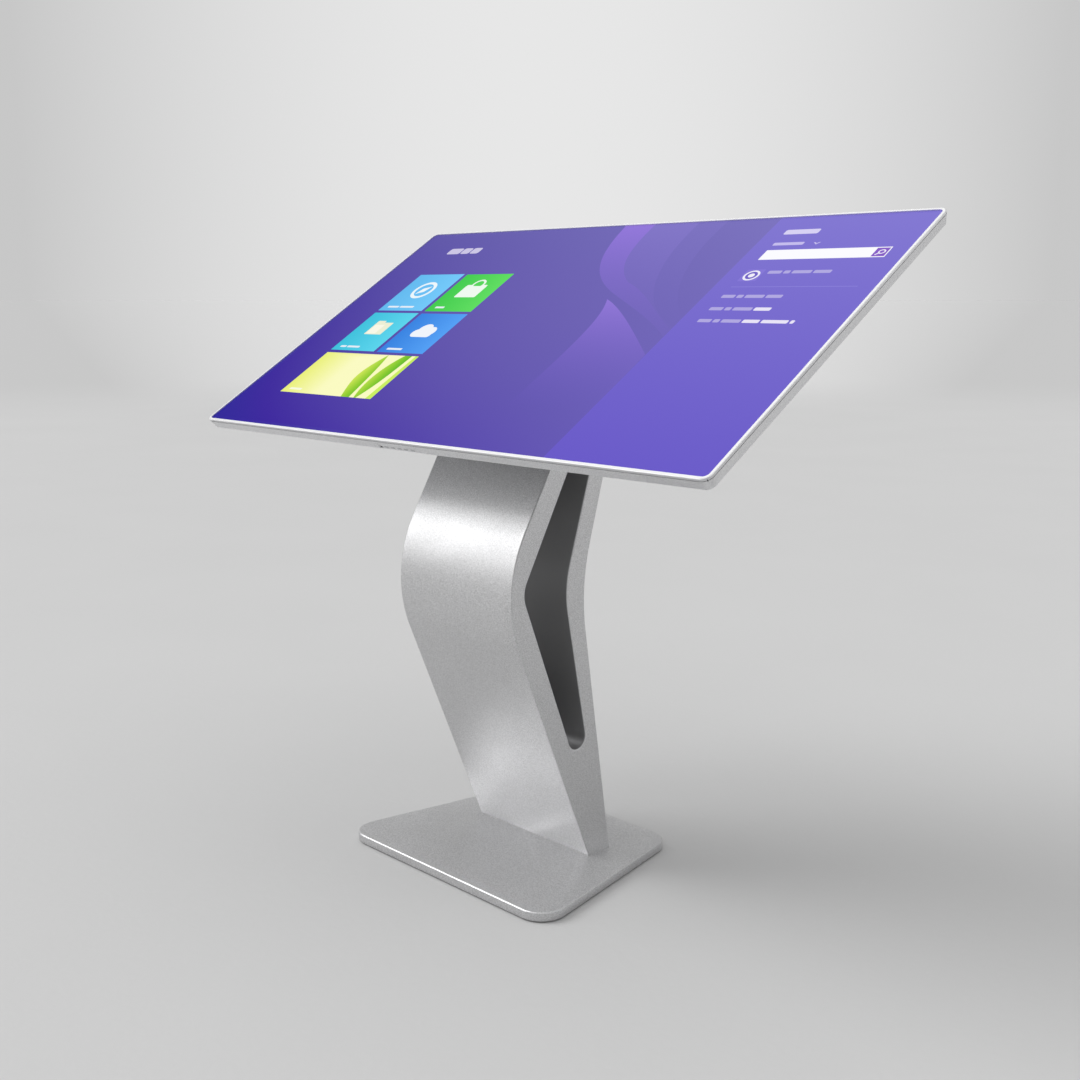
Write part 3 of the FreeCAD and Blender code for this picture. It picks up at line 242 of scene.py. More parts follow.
# --- Floor plate ---------------------------------------------------------------
# Laser-cut 15 mm steel plate, broader at the front, its top edge ground and the
# whole plate powder coated in a fine metallic silver. The column bolts to it from below.
def powder_coat(name, dark, light, metal, gloss):
    """Fine metallic powder coat: tiny bright flakes in a satin film with soft orange peel."""
    finish, tree, shader = finish_of(name, {"Metallic": metal, "Coat Weight": 0.12,
                                            "Coat Roughness": 0.32})
    flakes = grain(tree, 640.0, 2.0)
    tint(tree, flakes, dark, light, shader.inputs["Base Color"], (0.34, 0.66))
    spread(tree, grain(tree, 9.0), gloss - 0.03, gloss + 0.03, shader.inputs["Roughness"])
    relief(tree, flakes, 0.0002, shader, 0.4)
    return finish


def softened(node, width, finish, slot, body="kiosk", rounds=2):
    """A designed piece with its sharp edges broken to a small round."""
    work = bmesh.new()
    work.from_mesh(frame["nodes"][node].data)
    bmesh.ops.remove_doubles(work, verts=work.verts, dist=2e-6)
    bmesh.ops.dissolve_limit(work, angle_limit=math.radians(0.4), verts=work.verts,
                             edges=work.edges)
    mesh = bpy.data.meshes.new(node)
    work.to_mesh(mesh)
    mesh.shade_smooth()
    piece = bpy.data.objects.new("soft_" + node, mesh)
    bpy.context.scene.collection.objects.link(piece)
    edge = piece.modifiers.new("edge", "BEVEL")
    edge.width, edge.segments, edge.angle_limit = width, rounds, math.radians(28)
    edge.harden_normals = True
    bpy.context.view_layer.update()
    mesh = bpy.data.meshes.new_from_object(
        piece.evaluated_get(bpy.context.evaluated_depsgraph_get()))
    bpy.data.objects.remove(piece)
    return place_piece(node + "_softened", mesh, finish, body, slot, node)


def place_piece(name, mesh, finish, body, slot, *stands_for):
    """Add a finished mesh to the kiosk on its moving body."""
    mesh.name = name
    if finish is not None:
        mesh.materials.clear()
        mesh.materials.append(finish)
    piece = bpy.data.objects.new(name, mesh)
    bpy.context.scene.collection.objects.link(piece)
    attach(piece, body)
    if stands_for:
        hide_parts(*stands_for)
    return piece


silver_tones = colour(186, 186, 187), colour(224, 224, 225)
silver_metal, silver_gloss = 0.80, 0.42
silver = powder_coat("metallic_silver", *silver_tones, silver_metal, silver_gloss)
softened("base_plate", 0.0006, silver, "metallic_silver", rounds=3)


# --- Column --------------------------------------------------------------------
# Folded steel skins and two cheeks welded into one box, every weld ground smooth so that
# it reads as a single body, with a kite-shaped slot lined right through it.
# Each face is foot y, lower lean, bend height, upper lean and bend radius.
front_face = (33.0, 22.9, 521.9, 30.0, 223.0)
slot_front = (68.8, 21.47, 518.9, 28.63, 46.6)
slot_rear = (68.4, 11.33, 513.1, 17.18, 177.7)
rear_face = (87.6, 8.92, 509.8, 15.95, 346.0)
slot_foot_radius, slot_head_radius = 20.7, 14.0
column_edge = 2.6
plate_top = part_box("base_plate")[1].z / mm
half_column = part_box("column_front_skin")[1].x / mm


def bend_of(face):
    """Where the two lines of a face would meet."""
    return Vector((face[0] - math.tan(math.radians(face[1])) * (face[2] - plate_top), face[2]))


def along(face, z):
    """Point of a face's line at a height, past its ends too."""
    bend = bend_of(face)
    lean = -face[1] if z < bend.y else face[3]
    return Vector((bend.x + math.tan(math.radians(lean)) * (z - bend.y), z))


def meeting(first, second, upper):
    """Where the upper or the lower lines of two faces cross."""
    a, b = bend_of(first), bend_of(second)
    if upper:
        p, q = math.tan(math.radians(first[3])), math.tan(math.radians(second[3]))
    else:
        p, q = -math.tan(math.radians(first[1])), -math.tan(math.radians(second[1]))
    z = (b.x - a.x + p * a.y - q * b.y) / (p - q)
    return Vector((a.x + p * (z - a.y), z))


def rounded(corners, radii, degrees_per_step=3.0):
    """Closed outline through corners, each one rounded to its radius."""
    outline = []
    for i, corner in enumerate(corners):
        corner = Vector(corner)
        if radii[i] <= 0:
            outline.append(corner)
            continue
        before = (Vector(corners[i - 1]) - corner).normalized()
        after = (Vector(corners[(i + 1) % len(corners)]) - corner).normalized()
        half = before.angle(after) / 2
        centre = corner + (before + after).normalized() * radii[i] / math.sin(half)
        start = corner + before * radii[i] / math.tan(half) - centre
        turn = math.pi - 2 * half
        side = 1.0 if before.cross(after) < 0 else -1.0
        steps = max(2, round(math.degrees(turn) / degrees_per_step))
        for k in range(steps + 1):
            outline.append(centre + Matrix.Rotation(side * turn * k / steps, 2) @ start)
    return outline


def plain_mesh(piece, angle=math.radians(40)):
    """The piece with its modifiers worked in and its own smooth shading."""
    solid = bpy.data.meshes.new_from_object(
        piece.evaluated_get(bpy.context.evaluated_depsgraph_get()))
    solid.shade_smooth()
    solid.set_sharp_from_angle(angle=angle)
    return solid


def weighted(mesh, piece_name="flat"):
    """A copy whose broad faces look flat, and only whose rounded edges shade smoothly."""
    mesh.shade_smooth()
    piece = bpy.data.objects.new(piece_name, mesh)
    bpy.context.scene.collection.objects.link(piece)
    even = piece.modifiers.new("even", "WEIGHTED_NORMAL")
    even.weight, even.keep_sharp = 100, True
    bpy.context.view_layer.update()
    result = bpy.data.meshes.new_from_object(
        piece.evaluated_get(bpy.context.evaluated_depsgraph_get()))
    bpy.data.objects.remove(piece)
    return result


# The outline runs on past both ends, and is cut off there at the plate and the display.
run_low, run_high = plate_top - 20, 1000
outer = rounded([along(front_face, run_low), bend_of(front_face),
                 along(front_face, run_high), along(rear_face, run_high), bend_of(rear_face),
                 along(rear_face, run_low)],
                [0, front_face[4], 0, 0, rear_face[4], 0], 1.5)
hole = rounded([meeting(slot_front, slot_rear, False), bend_of(slot_front),
                meeting(slot_front, slot_rear, True), bend_of(slot_rear)],
               [slot_foot_radius, slot_front[4], slot_head_radius, slot_rear[4]])
drawing = bpy.data.curves.new("column_drawing", "CURVE")
drawing.dimensions, drawing.fill_mode = "2D", "BOTH"
drawing.extrude = (half_column - column_edge) * mm
drawing.bevel_depth, drawing.bevel_resolution = column_edge * mm, 3
drawing.offset = -column_edge * mm
for outline in (outer, hole):
    line = drawing.splines.new("POLY")
    line.points.add(len(outline) - 1)
    for point, place in zip(line.points, outline):
        point.co = (place.x * mm, place.y * mm, 0, 1)
    line.use_cyclic_u = True
drawn = bpy.data.objects.new("column_drawing", drawing)
bpy.context.scene.collection.objects.link(drawn)
bpy.context.view_layer.update()
shell = bpy.data.meshes.new_from_object(
    drawn.evaluated_get(bpy.context.evaluated_depsgraph_get()))
bpy.data.objects.remove(drawn)
work = bmesh.new()
work.from_mesh(shell)
bmesh.ops.transform(work, matrix=Matrix(((0, 0, 1, 0), (1, 0, 0, 0), (0, 1, 0, 0),
                                         (0, 0, 0, 1))), verts=work.verts)
bmesh.ops.remove_doubles(work, verts=work.verts, dist=0.00002)

# The display's own directions: across, up the screen, and out of its back.
joints = {joint["name"]: joint for joint in frame["record"]["behaviour"]["joints"]}
up_screen = -Vector(joints["service_door_hinge"]["axis"])
out_back = Vector(joints["fan_left_spin"]["axis"])
glass_low, glass_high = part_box("cover_glass")
glass_thickness, glass_depth = 4.0, 2.5
rim_centre = (glass_low + glass_high) / 2 - out_back * (glass_depth + glass_thickness / 2) * mm
housing_back = 72.0


def on_display(x, v, depth):
    """Place in the room of a point on the display: across, up it, and behind its rim."""
    return rim_centre + Vector((x, 0, 0)) * mm + (up_screen * v + out_back * depth) * mm


for through, along_normal in ((Vector((0, 0, plate_top * mm)), Vector((0, 0, -1))),
                              (on_display(0, 0, housing_back), -out_back)):
    cut = bmesh.ops.bisect_plane(work, geom=work.verts[:] + work.edges[:] + work.faces[:],
                                 plane_co=through, plane_no=along_normal, clear_outer=True,
                                 dist=1e-6)
    rim = [e for e in cut["geom_cut"] if isinstance(e, bmesh.types.BMEdge)]
    bmesh.ops.contextual_create(work, geom=rim)
bmesh.ops.recalc_face_normals(work, faces=work.faces)
for face in work.faces:
    face.smooth = True
for edge in work.edges:
    if len(edge.link_faces) == 2 and edge.calc_face_angle(0) > math.radians(50):
        edge.smooth = False
work.to_mesh(shell)

# The inside of the slot is painted darker than the outside: a painted shade for the dark that fills
# the slot.
bend_swell = 7.0
body = weighted(shell)
slot_shade_points = body.attributes.new("slot_shade", "FLOAT", "POINT")
for point in body.vertices:
    before, behind = along(slot_front, point.co.z / mm).x, along(slot_rear, point.co.z / mm).x
    off_middle = abs(point.co.y / mm - (before + behind) / 2)
    inside = off_middle < abs(behind - before) / 2 + bend_swell
    inside = inside and abs(point.co.x) < (half_column - 1) * mm
    slot_shade_points.data[point.index].value = 1.0 if inside else 0.0
column_silver = powder_coat("column_silver", *silver_tones, silver_metal, silver_gloss)
tree = column_silver.node_tree
coat = next(node for node in tree.nodes if node.type == "BSDF_PRINCIPLED")
outside = coat.inputs["Base Color"].links[0].from_socket
# Darker grey painted on the slot's inside walls as painted shade.
slot_shade_tone = tree.nodes.new("ShaderNodeRGB")
slot_shade_tone.outputs[0].default_value = colour(184, 184, 185)
slot_shade = tree.nodes.new("ShaderNodeAttribute")
slot_shade.attribute_name = "slot_shade"
blended(tree, slot_shade.outputs["Fac"], outside, slot_shade_tone.outputs[0], coat.inputs["Base Color"])
place_piece("column_shell", body, column_silver, "kiosk", "metallic_silver",
            "column_front_skin", "column_rear_skin", "column_side_left", "column_side_right",
            "slot_liner")


# --- Column ironwork -----------------------------------------------------------
# Hidden inside the column: welded ribs, the foot block it bolts down through, the head
# plate under the display and their zinc-plated bolts.
def plated(name, dark, light, gloss):
    """Zinc or nickel plate: cool grey with faint rolling marks."""
    finish, tree, shader = finish_of(name, {"Metallic": 1.0})
    tint(tree, grain(tree, 90.0, 4.0), dark, light, shader.inputs["Base Color"])
    spread(tree, grain(tree, 40.0, 4.0, (1, 6, 1)), gloss - 0.06, gloss + 0.08,
           shader.inputs["Roughness"])
    relief(tree, grain(tree, 900.0), 0.00006, shader)
    return finish


zinc = plated("zinc_plate", colour(176, 180, 186), colour(206, 208, 212), 0.36)
nickel = plated("bright_plate", colour(190, 189, 186), colour(224, 223, 219), 0.24)
dress(zinc, "column_ribs", "foot_block", "head_plate", "column_bolts", "head_bolts",
      "mounting_plate", "mounting_rails", "frame_brackets", "panel_backplate")
dress(nickel, "hinge_pins", "door_hinge_leaves", "housing_hinge_leaves")


# --- Mains entry ---------------------------------------------------------------
# A rubber grommet in the floor plate, a moulded terminal box on the foot block and the
# fixed lead that climbs the rear leg to the display.
def moulded(name, dark, light, gloss):
    """Moulded plastic with a fine spark-eroded texture."""
    finish, tree, shader = finish_of(name, {"Specular IOR Level": 0.45})
    tint(tree, grain(tree, 35.0), dark, light, shader.inputs["Base Color"])
    spread(tree, grain(tree, 120.0), gloss - 0.05, gloss + 0.07, shader.inputs["Roughness"])
    relief(tree, grain(tree, 2400.0), 0.00008, shader)
    return finish


black_plastic = moulded("black_plastic", colour(24, 24, 26), colour(36, 36, 38), 0.48)
jacket = moulded("cable_jacket", colour(30, 30, 31), colour(42, 42, 43), 0.58)
dress(black_plastic, "terminal_box", "switch_body", "key_board", "led_strips")
dress(jacket, "mains_cable")


# --- Display frame -------------------------------------------------------------
# A slim extruded rim, pale on its face and silver down its side, is pressed over a bent
# aluminium band. The two are parted by a fine shadow line with a black gasket, and the
# band tapers to the back.
rim_finish, tree, shader = finish_of("satin_rim", {"Coat Weight": 0.25,
                                                   "Coat Roughness": 0.2})
place_on_rim = tree.nodes.new("ShaderNodeTexCoord")
depth_on_rim = tree.nodes.new("ShaderNodeVectorMath")
depth_on_rim.operation = "DOT_PRODUCT"
tree.links.new(place_on_rim.outputs["Object"], depth_on_rim.inputs[0])
depth_on_rim.inputs[1].default_value = out_back
rim_plane = rim_centre.dot(out_back)
face_share, metal_share = (tree.nodes.new("ShaderNodeMapRange") for _ in range(2))
for share, front, side in ((face_share, 1.0, 0.0), (metal_share, 0.15, 0.80)):
    tree.links.new(depth_on_rim.outputs["Value"], share.inputs["Value"])
    share.inputs["From Min"].default_value = rim_plane + 0.6 * mm
    share.inputs["From Max"].default_value = rim_plane + 1.2 * mm
    share.inputs["To Min"].default_value, share.inputs["To Max"].default_value = front, side
tree.links.new(metal_share.outputs["Result"], shader.inputs["Metallic"])
rim_side, rim_front = (tree.nodes.new("ShaderNodeRGB") for _ in range(2))
rim_side.outputs[0].default_value = colour(212, 212, 214)
rim_front.outputs[0].default_value = colour(246, 246, 247)
blended(tree, face_share.outputs["Result"], rim_side.outputs[0], rim_front.outputs[0],
        shader.inputs["Base Color"])
spread(tree, grain(tree, 14.0), 0.30, 0.36, shader.inputs["Roughness"])
dress(rim_finish, "front_frame")
band = powder_coat("silver_band", colour(212, 212, 214), colour(236, 236, 237),
                   silver_metal, 0.38)
dress(band, "side_frame")


# --- Screen --------------------------------------------------------------------
# Toughened cover glass bonded to the lit panel, so the picture sits right at its surface.
# The picture is a home page: five tiles, a ribbon pattern and a search column.
screen_half_width, screen_half_height = 604.8, 340.2
glass_edge, glass_corner = 1.2, 10.2
cell = 13.0
veil_right, veil_rise = 0.018, 0.026  # room light on the glass, taken off the picture


def between(a, b, t):
    """Colour part of the way from a to b."""
    t = min(1.0, max(0.0, t))
    return tuple(p + (q - p) * t for p, q in zip(a, b))


def ground(x, v):
    """Violet page with a painted reflection of soft light on the glass: darker at the lower left,
    paler at the top, and a pale painted sheen across the middle.
    """
    right, up = (x + 605) / 905, (v + 341) / 682
    low = between((64, 46, 157), (101, 88, 180), right)
    high = between((100, 92, 170), (121, 112, 189), right)
    # painted sheen: a pale patch standing in for a soft light reflected in the glass
    painted_sheen = 4 * up * (1 - up) * 4 * max(0.0, right) * max(0.0, 1.2 - right) / 1.44
    return between(between(low, high, up), (118, 108, 178), 0.35 * max(0.0, painted_sheen))


def column_page(x, v):
    """The search column, a step lighter than the page."""
    up = (v + 341) / 682
    return between((107, 92, 201), (127, 116, 208), up)


def ribbon(near, far, strength, fade_high=400.0, fade_low=-400.0):
    """Lilac veil over the page that fades between two heights."""
    def shade(x, v):
        run = (v - fade_low) / (fade_high - fade_low)
        return between(ground(x, v), between(near, far, run), strength * min(1.0, max(0.0, run)))
    return shade


def plain(*rgb):
    """One flat colour."""
    return lambda x, v: rgb


def sloping(left, right, x0, x1):
    """Colour that changes from left to right."""
    return lambda x, v: between(left, right, (x - x0) / (x1 - x0))


def bow(*points, steps=22):
    """Smooth line through a start, two pulling points and an end."""
    flat = [Vector((x, v, 0)) for x, v in points]
    return [(p.x, p.y) for p in interpolate_bezier(*flat, steps)]


def box(left, low, right, high, radius=0.0):
    """Upright rectangle with softened corners."""
    corners = [(left, low), (right, low), (right, high), (left, high)]
    if radius <= 0:
        return corners
    return [(p.x, p.y) for p in rounded(corners, [radius] * 4, 15.0)]


def disc(x, v, radius, sides=28):
    """Round spot."""
    turns = [math.tau * i / sides for i in range(sides)]
    return [(x + radius * math.cos(turn), v + radius * math.sin(turn)) for turn in turns]


def words(left, v, height, lengths, tone_at, gap=4.0):
    """A line of text stood in for by plain bars."""
    bars, x = [], left
    for length in lengths:
        bars.append((box(x, v - height / 2, x + length, v + height / 2, height * 0.25), tone_at))
        x += length + gap
    return bars


first_ribbon = (bow((-53, 346), (-42, 210), (20, 150), (102, 102))
                + bow((102, 102), (175, 60), (250, 20), (301, -22))[1:]
                + bow((301, -2), (240, 40), (170, 110), (105, 140))
                + bow((105, 140), (40, 190), (22, 250), (20, 346))[1:])
second_ribbon = (bow((20, 346), (22, 250), (40, 190), (105, 140))
                 + bow((105, 140), (170, 110), (240, 40), (301, -2))[1:]
                 + bow((301, 6), (215, 50), (120, 150), (125, 346)))
third_ribbon = (bow((125, 346), (120, 150), (215, 50), (301, 6))
                + bow((301, 30), (240, 90), (175, 190), (190, 346)))
lower_ribbon = (bow((98, 86), (130, 30), (132, -40), (124, -230))
                + [(301, -250)] + bow((301, -72), (230, -10), (150, 60), (98, 86)))
art = [
    (first_ribbon, ribbon((128, 106, 208), (150, 120, 222), 0.85, 330, -60)),
    (second_ribbon, ribbon((130, 112, 205), (136, 122, 206), 0.62, 330, -40)),
    (third_ribbon, ribbon((120, 108, 196), (130, 118, 200), 0.40, 330, -40)),
    (lower_ribbon, ribbon((112, 92, 198), (150, 122, 220), 0.85, 80, -230)),
    (box(302, -346, 610, 346), column_page),
    (box(-492, 43, -356, 177), sloping((104, 188, 240), (118, 202, 250), -492, -356)),
    (box(-346, 42, -212, 175), sloping((72, 205, 82), (98, 222, 98), -346, -212)),
    (box(-492, -97, -356, 35), sloping((72, 196, 222), (96, 214, 238), -492, -356)),
    (box(-346, -98, -212, 34), sloping((64, 134, 226), (88, 162, 246), -346, -212)),
    (box(-492, -239, -213, -106), sloping((236, 242, 128), (252, 252, 196), -492, -380)),
]
# Tile pictures: a compass, a bag, a folder, a cloud and two leaves.
compass = [(disc(-424, 118, 30), plain(238, 248, 252)), (disc(-424, 118, 22), plain(108, 192, 244)),
           ([(-438, 104), (-418, 112), (-410, 132), (-430, 124)], plain(240, 249, 252))]
bag = [(box(-308, 92, -250, 136, 3), plain(240, 250, 240)),
       (disc(-279, 138, 17, 24), plain(240, 250, 240)),
       (disc(-279, 138, 12, 24), plain(88, 214, 92)),
       (box(-309, 92, -249, 132, 3), plain(240, 250, 240))]
folder = [(box(-448, -41, -396, 0, 2), plain(238, 240, 214)),
          (box(-448, -4, -424, 6, 2), plain(238, 240, 214)),
          (box(-444, -38, -416, -8, 1), plain(250, 249, 232))]
cloud = [(disc(-296, -32, 13), plain(240, 245, 252)), (disc(-282, -20, 18), plain(240, 245, 252)),
         (disc(-262, -26, 15), plain(240, 245, 252)),
         (box(-302, -45, -250, -30, 7), plain(240, 245, 252))]
leaf_one = (bow((-300, -239), (-322, -190), (-338, -170), (-300, -106))
            + bow((-300, -106), (-286, -150), (-282, -200), (-276, -239)))
leaf_two = (bow((-262, -239), (-284, -190), (-276, -140), (-252, -106))
            + [(-232, -106)] + bow((-232, -106), (-236, -160), (-240, -200), (-256, -239)))
leaves = [(leaf_one, sloping((208, 232, 92), (120, 196, 44), -322, -276)),
          (leaf_two, sloping((196, 228, 84), (104, 190, 38), -280, -234)),
          ([(-228, -239), (-213, -239), (-213, -106), (-222, -106)], plain(204, 240, 100))]
art += compass + bag + folder + cloud + leaves
# Titles and captions, all of them plain bars.
title_tone, soft_tone = plain(206, 200, 230), plain(176, 168, 224)
art += words(-492, 268, 22, (40, 26, 26), title_tone, 3)
for left, v, lengths in ((-474, 57, (34, 42)), (-327, 56, (26,)), (-474, -84, (18, 38)),
                         (-327, -86, (44,)), (-474, -227, (38,))):
    art += words(left, v, 6, lengths, plain(232, 240, 248) if v > -200 else plain(250, 252, 226))
art += words(338, 292, 15, (68,), plain(214, 208, 242))
art += words(338, 254, 9, (60,), plain(196, 188, 236))
art += [([(416, 256), (420, 256), (423, 252.5), (426, 256), (430, 256), (423, 249)],
         plain(196, 188, 236))]
art += [(box(338, 205, 571, 235), plain(250, 250, 254)),
        (box(546, 207.5, 569, 232.5), plain(132, 88, 196)),
        (disc(559, 221, 6.5, 20), plain(240, 236, 250)),
        (disc(559, 221, 4.0, 20), plain(132, 88, 196)),
        ([(549.5, 213), (551.5, 211), (556.5, 216), (554.5, 218)], plain(240, 236, 250)),
        (box(338, 140, 374, 175, 2), plain(132, 118, 214)),
        (disc(356, 157, 15), plain(240, 238, 250)), (disc(356, 157, 11), plain(110, 94, 196)),
        (disc(356, 157, 6, 18), plain(240, 238, 250)),
        (box(338, 122, 571, 123.5), plain(140, 130, 218))]
art += words(383, 166, 9, (26, 12, 36, 32), soft_tone)
art += words(338, 95, 9, (26, 12, 36, 30), soft_tone)
art += words(338, 59, 9, (26, 12, 36), soft_tone) + words(424, 59, 9, (31,), plain(232, 228, 246))
art += words(338, 25, 9, (26, 12, 36), soft_tone)
art += words(424, 25, 9, (31, 48, 7), plain(232, 228, 246))

# One flat layout of every outline, cut into small cells so that the colours can drift.
half_x, half_v = screen_half_width + glass_edge, screen_half_height + glass_edge
glass_outline = box(-half_x, -half_v, half_x, half_v, glass_corner)
points, loops, least_step = [], [], 0.05


def add_outline(outline):
    """Put an outline into the layout, kept anticlockwise and inside the glass."""
    shape = []
    for x, v in outline:
        place = Vector((min(half_x, max(-half_x, x)), min(half_v, max(-half_v, v))))
        if not shape or (place - shape[-1]).length > least_step:
            shape.append(place)
    if (shape[0] - shape[-1]).length < least_step:
        shape.pop()
    area = sum(p.cross(q) for p, q in zip(shape, shape[1:] + shape[:1]))
    if area < 0:
        shape.reverse()
    first = len(points)
    points.extend(shape)
    loops.append(list(range(first, first + len(shape))))


add_outline(glass_outline)
for outline, _ in art:
    add_outline(outline)
across, up = int(half_x * 2 / cell), int(half_v * 2 / cell)
for i in range(1, across):
    for j in range(1, up):
        points.append(Vector((-half_x + 2 * half_x * i / across, -half_v + 2 * half_v * j / up)))
flat_points, _, flat_faces, _, _, owners = delaunay_2d_cdt(points, [], loops, 1, 1e-4)
shades = [ground] + [shade for _, shade in art]
work = bmesh.new()
glow_layer = work.loops.layers.float_color.new("picture")
corners = [work.verts.new(on_display(p.x, p.y, glass_depth)) for p in flat_points]
for face, owner in zip(flat_faces, owners):
    if not owner:
        continue
    shade = shades[max(owner)]
    made = work.faces.new([corners[i] for i in face])
    for loop, i in zip(made.loops, face):
        rgb = shade(flat_points[i].x, flat_points[i].y)
        red, green, blue, _ = colour(*rgb)
        veil = veil_right + veil_rise * (half_x - flat_points[i].x) / (2 * half_x)
        loop[glow_layer] = tuple(max(0.0, c - veil) for c in (red, green, blue)) + (1.0,)
bmesh.ops.delete(work, geom=[v for v in work.verts if not v.link_faces], context="VERTS")
rim = [e for e in work.edges if len(e.link_faces) == 1]
wall = bmesh.ops.extrude_edge_only(work, edges=rim)["geom"]
lower = [g for g in wall if isinstance(g, bmesh.types.BMVert)]
bmesh.ops.translate(work, verts=lower, vec=out_back * glass_thickness * mm)
bmesh.ops.contextual_create(
    work, geom=[g for g in wall if isinstance(g, bmesh.types.BMEdge)
                and len(g.link_faces) == 1])
bmesh.ops.recalc_face_normals(work, faces=work.faces)
for face in work.faces:
    for loop in face.loops:
        if face.normal.dot(-out_back) < 0.5:
            loop[glow_layer] = (0.0, 0.0, 0.0, 1.0)
picture_mesh = bpy.data.meshes.new("screen_picture")
work.to_mesh(picture_mesh)

lit_glass, tree, shader = finish_of("lit_glass", {
    "Base Color": (0.004, 0.004, 0.006, 1.0), "Specular IOR Level": 0.06,
    "Emission Strength": 1.0, "Coat Weight": 0.0})
picture = tree.nodes.new("ShaderNodeAttribute")
picture.attribute_name = "picture"
tree.links.new(picture.outputs["Color"], shader.inputs["Emission Color"])
spread(tree, grain(tree, 14.0, 5.0), 0.06, 0.12, shader.inputs["Roughness"], (0.35, 0.75))
place_piece("screen_picture", picture_mesh, lit_glass, "kiosk", "cover_glass", "cover_glass")


# --- Panel layers --------------------------------------------------------------
# Behind the glass: the clear touch film, the liquid crystal panel, a diffuser, the acrylic
# light guide and the strips of lamps along its edges.
film, tree, shader = finish_of("clear_film", {"Specular IOR Level": 0.5})
tint(tree, grain(tree, 50.0), colour(196, 204, 210), colour(214, 220, 224),
     shader.inputs["Base Color"])
spread(tree, grain(tree, 18.0), 0.14, 0.26, shader.inputs["Roughness"])
dress(film, "touch_sensor", "diffuser_sheet", "light_guide")
dark_panel, tree, shader = finish_of("dark_panel", {"Specular IOR Level": 0.5})
tint(tree, grain(tree, 300.0, 1.0), colour(14, 14, 18), colour(24, 24, 30),
     shader.inputs["Base Color"])
spread(tree, grain(tree, 12.0), 0.16, 0.28, shader.inputs["Roughness"])
dress(dark_panel, "lcd_panel", "sensor_window")


# --- Keys ----------------------------------------------------------------------
# Five short moulded keys along the lower band, left of its middle, with a small dark window
# for the remote receiver and light sensor.
key_plastic = moulded("key_plastic", colour(188, 189, 191), colour(202, 203, 205), 0.42)
dress(key_plastic, "input_key", "menu_key", "minus_key", "plus_key", "power_key")


# --- Rear cover and housing ----------------------------------------------------
# A flat sheet cover closes the display, and a drawn steel housing over the electronics
# stands out from it. Both are powder coated a shade darker than the column.
silver_back = powder_coat("silver_back", colour(184, 185, 187), colour(214, 214, 216),
                          silver_metal, 0.44)
dress(silver_back, "rear_cover", "rear_housing", "service_door")


# --- Screws --------------------------------------------------------------------
# Zinc-plated socket screws hold the rear cover and the housing flange, one at a time from
# behind. They are all alike: a chamfered head with a hexagon socket on a plain shank.
def solids_of(node):
    """The separate solids of a designed piece, as lists of their corner points."""
    mesh = bmesh.new()
    mesh.from_mesh(frame["nodes"][node].data)
    bmesh.ops.remove_doubles(mesh, verts=mesh.verts, dist=1e-6)
    left, groups = set(mesh.verts), []
    while left:
        stack, group = [left.pop()], []
        while stack:
            vert = stack.pop()
            group.append(vert.co.copy())
            for edge in vert.link_edges:
                other = edge.other_vert(vert)
                if other in left:
                    left.remove(other)
                    stack.append(other)
        groups.append(group)
    mesh.free()
    return groups


def tree_of(name, inputs):
    """Empty geometry tree with named sizes; returns it with its two ends."""
    tree = bpy.data.node_groups.new(name, "GeometryNodeTree")
    tree.interface.new_socket("Geometry", in_out="INPUT", socket_type="NodeSocketGeometry")
    for label, value, kind in inputs:
        socket = tree.interface.new_socket(label, in_out="INPUT", socket_type=kind)
        if value is not None:
            socket.default_value = value
    tree.interface.new_socket("Geometry", in_out="OUTPUT", socket_type="NodeSocketGeometry")
    return tree, tree.nodes.new("NodeGroupInput"), tree.nodes.new("NodeGroupOutput")


def joined(tree, source, target):
    """Link two sockets."""
    tree.links.new(source, target)


def sized(tree, kind, **values):
    """New node with some of its inputs set by label."""
    node = tree.nodes.new(kind)
    for label, value in values.items():
        node.inputs[label.replace("_", " ")].default_value = value
    return node


length = "NodeSocketFloat"
screw_head = 0.0016
screw_tree, given, result = tree_of("socket_screws", [
    ("Head radius", 0.003, length), ("Head height", screw_head, length),
    ("Chamfer", 0.0004, length), ("Socket radius", 0.0014, length),
    ("Socket depth", 0.0011, length), ("Shank radius", 0.0015, length),
    ("Shank length", 0.0034, length), ("Facing", (0.0, 0.0, 0.0), "NodeSocketRotation"),
    ("Finish", None, "NodeSocketMaterial")])
straight = sized(screw_tree, "ShaderNodeMath")
straight.operation = "SUBTRACT"
joined(screw_tree, given.outputs["Head height"], straight.inputs[0])
joined(screw_tree, given.outputs["Chamfer"], straight.inputs[1])
narrowed = sized(screw_tree, "ShaderNodeMath")
narrowed.operation = "SUBTRACT"
joined(screw_tree, given.outputs["Head radius"], narrowed.inputs[0])
joined(screw_tree, given.outputs["Chamfer"], narrowed.inputs[1])
barrel = sized(screw_tree, "GeometryNodeMeshCone", Vertices=32)
for source, label in ((given.outputs["Head radius"], "Radius Top"),
                      (given.outputs["Head radius"], "Radius Bottom"),
                      (straight.outputs["Value"], "Depth")):
    joined(screw_tree, source, barrel.inputs[label])
crown = sized(screw_tree, "GeometryNodeMeshCone", Vertices=32)
for source, label in ((narrowed.outputs["Value"], "Radius Top"),
                      (given.outputs["Head radius"], "Radius Bottom"),
                      (given.outputs["Chamfer"], "Depth")):
    joined(screw_tree, source, crown.inputs[label])


def lifted(tree, geometry, height):
    """Move geometry along its own axis by a height socket."""
    shift = tree.nodes.new("ShaderNodeCombineXYZ")
    joined(tree, height, shift.inputs["Z"])
    move = tree.nodes.new("GeometryNodeTransform")
    joined(tree, geometry, move.inputs["Geometry"])
    joined(tree, shift.outputs["Vector"], move.inputs["Translation"])
    return move.outputs["Geometry"]


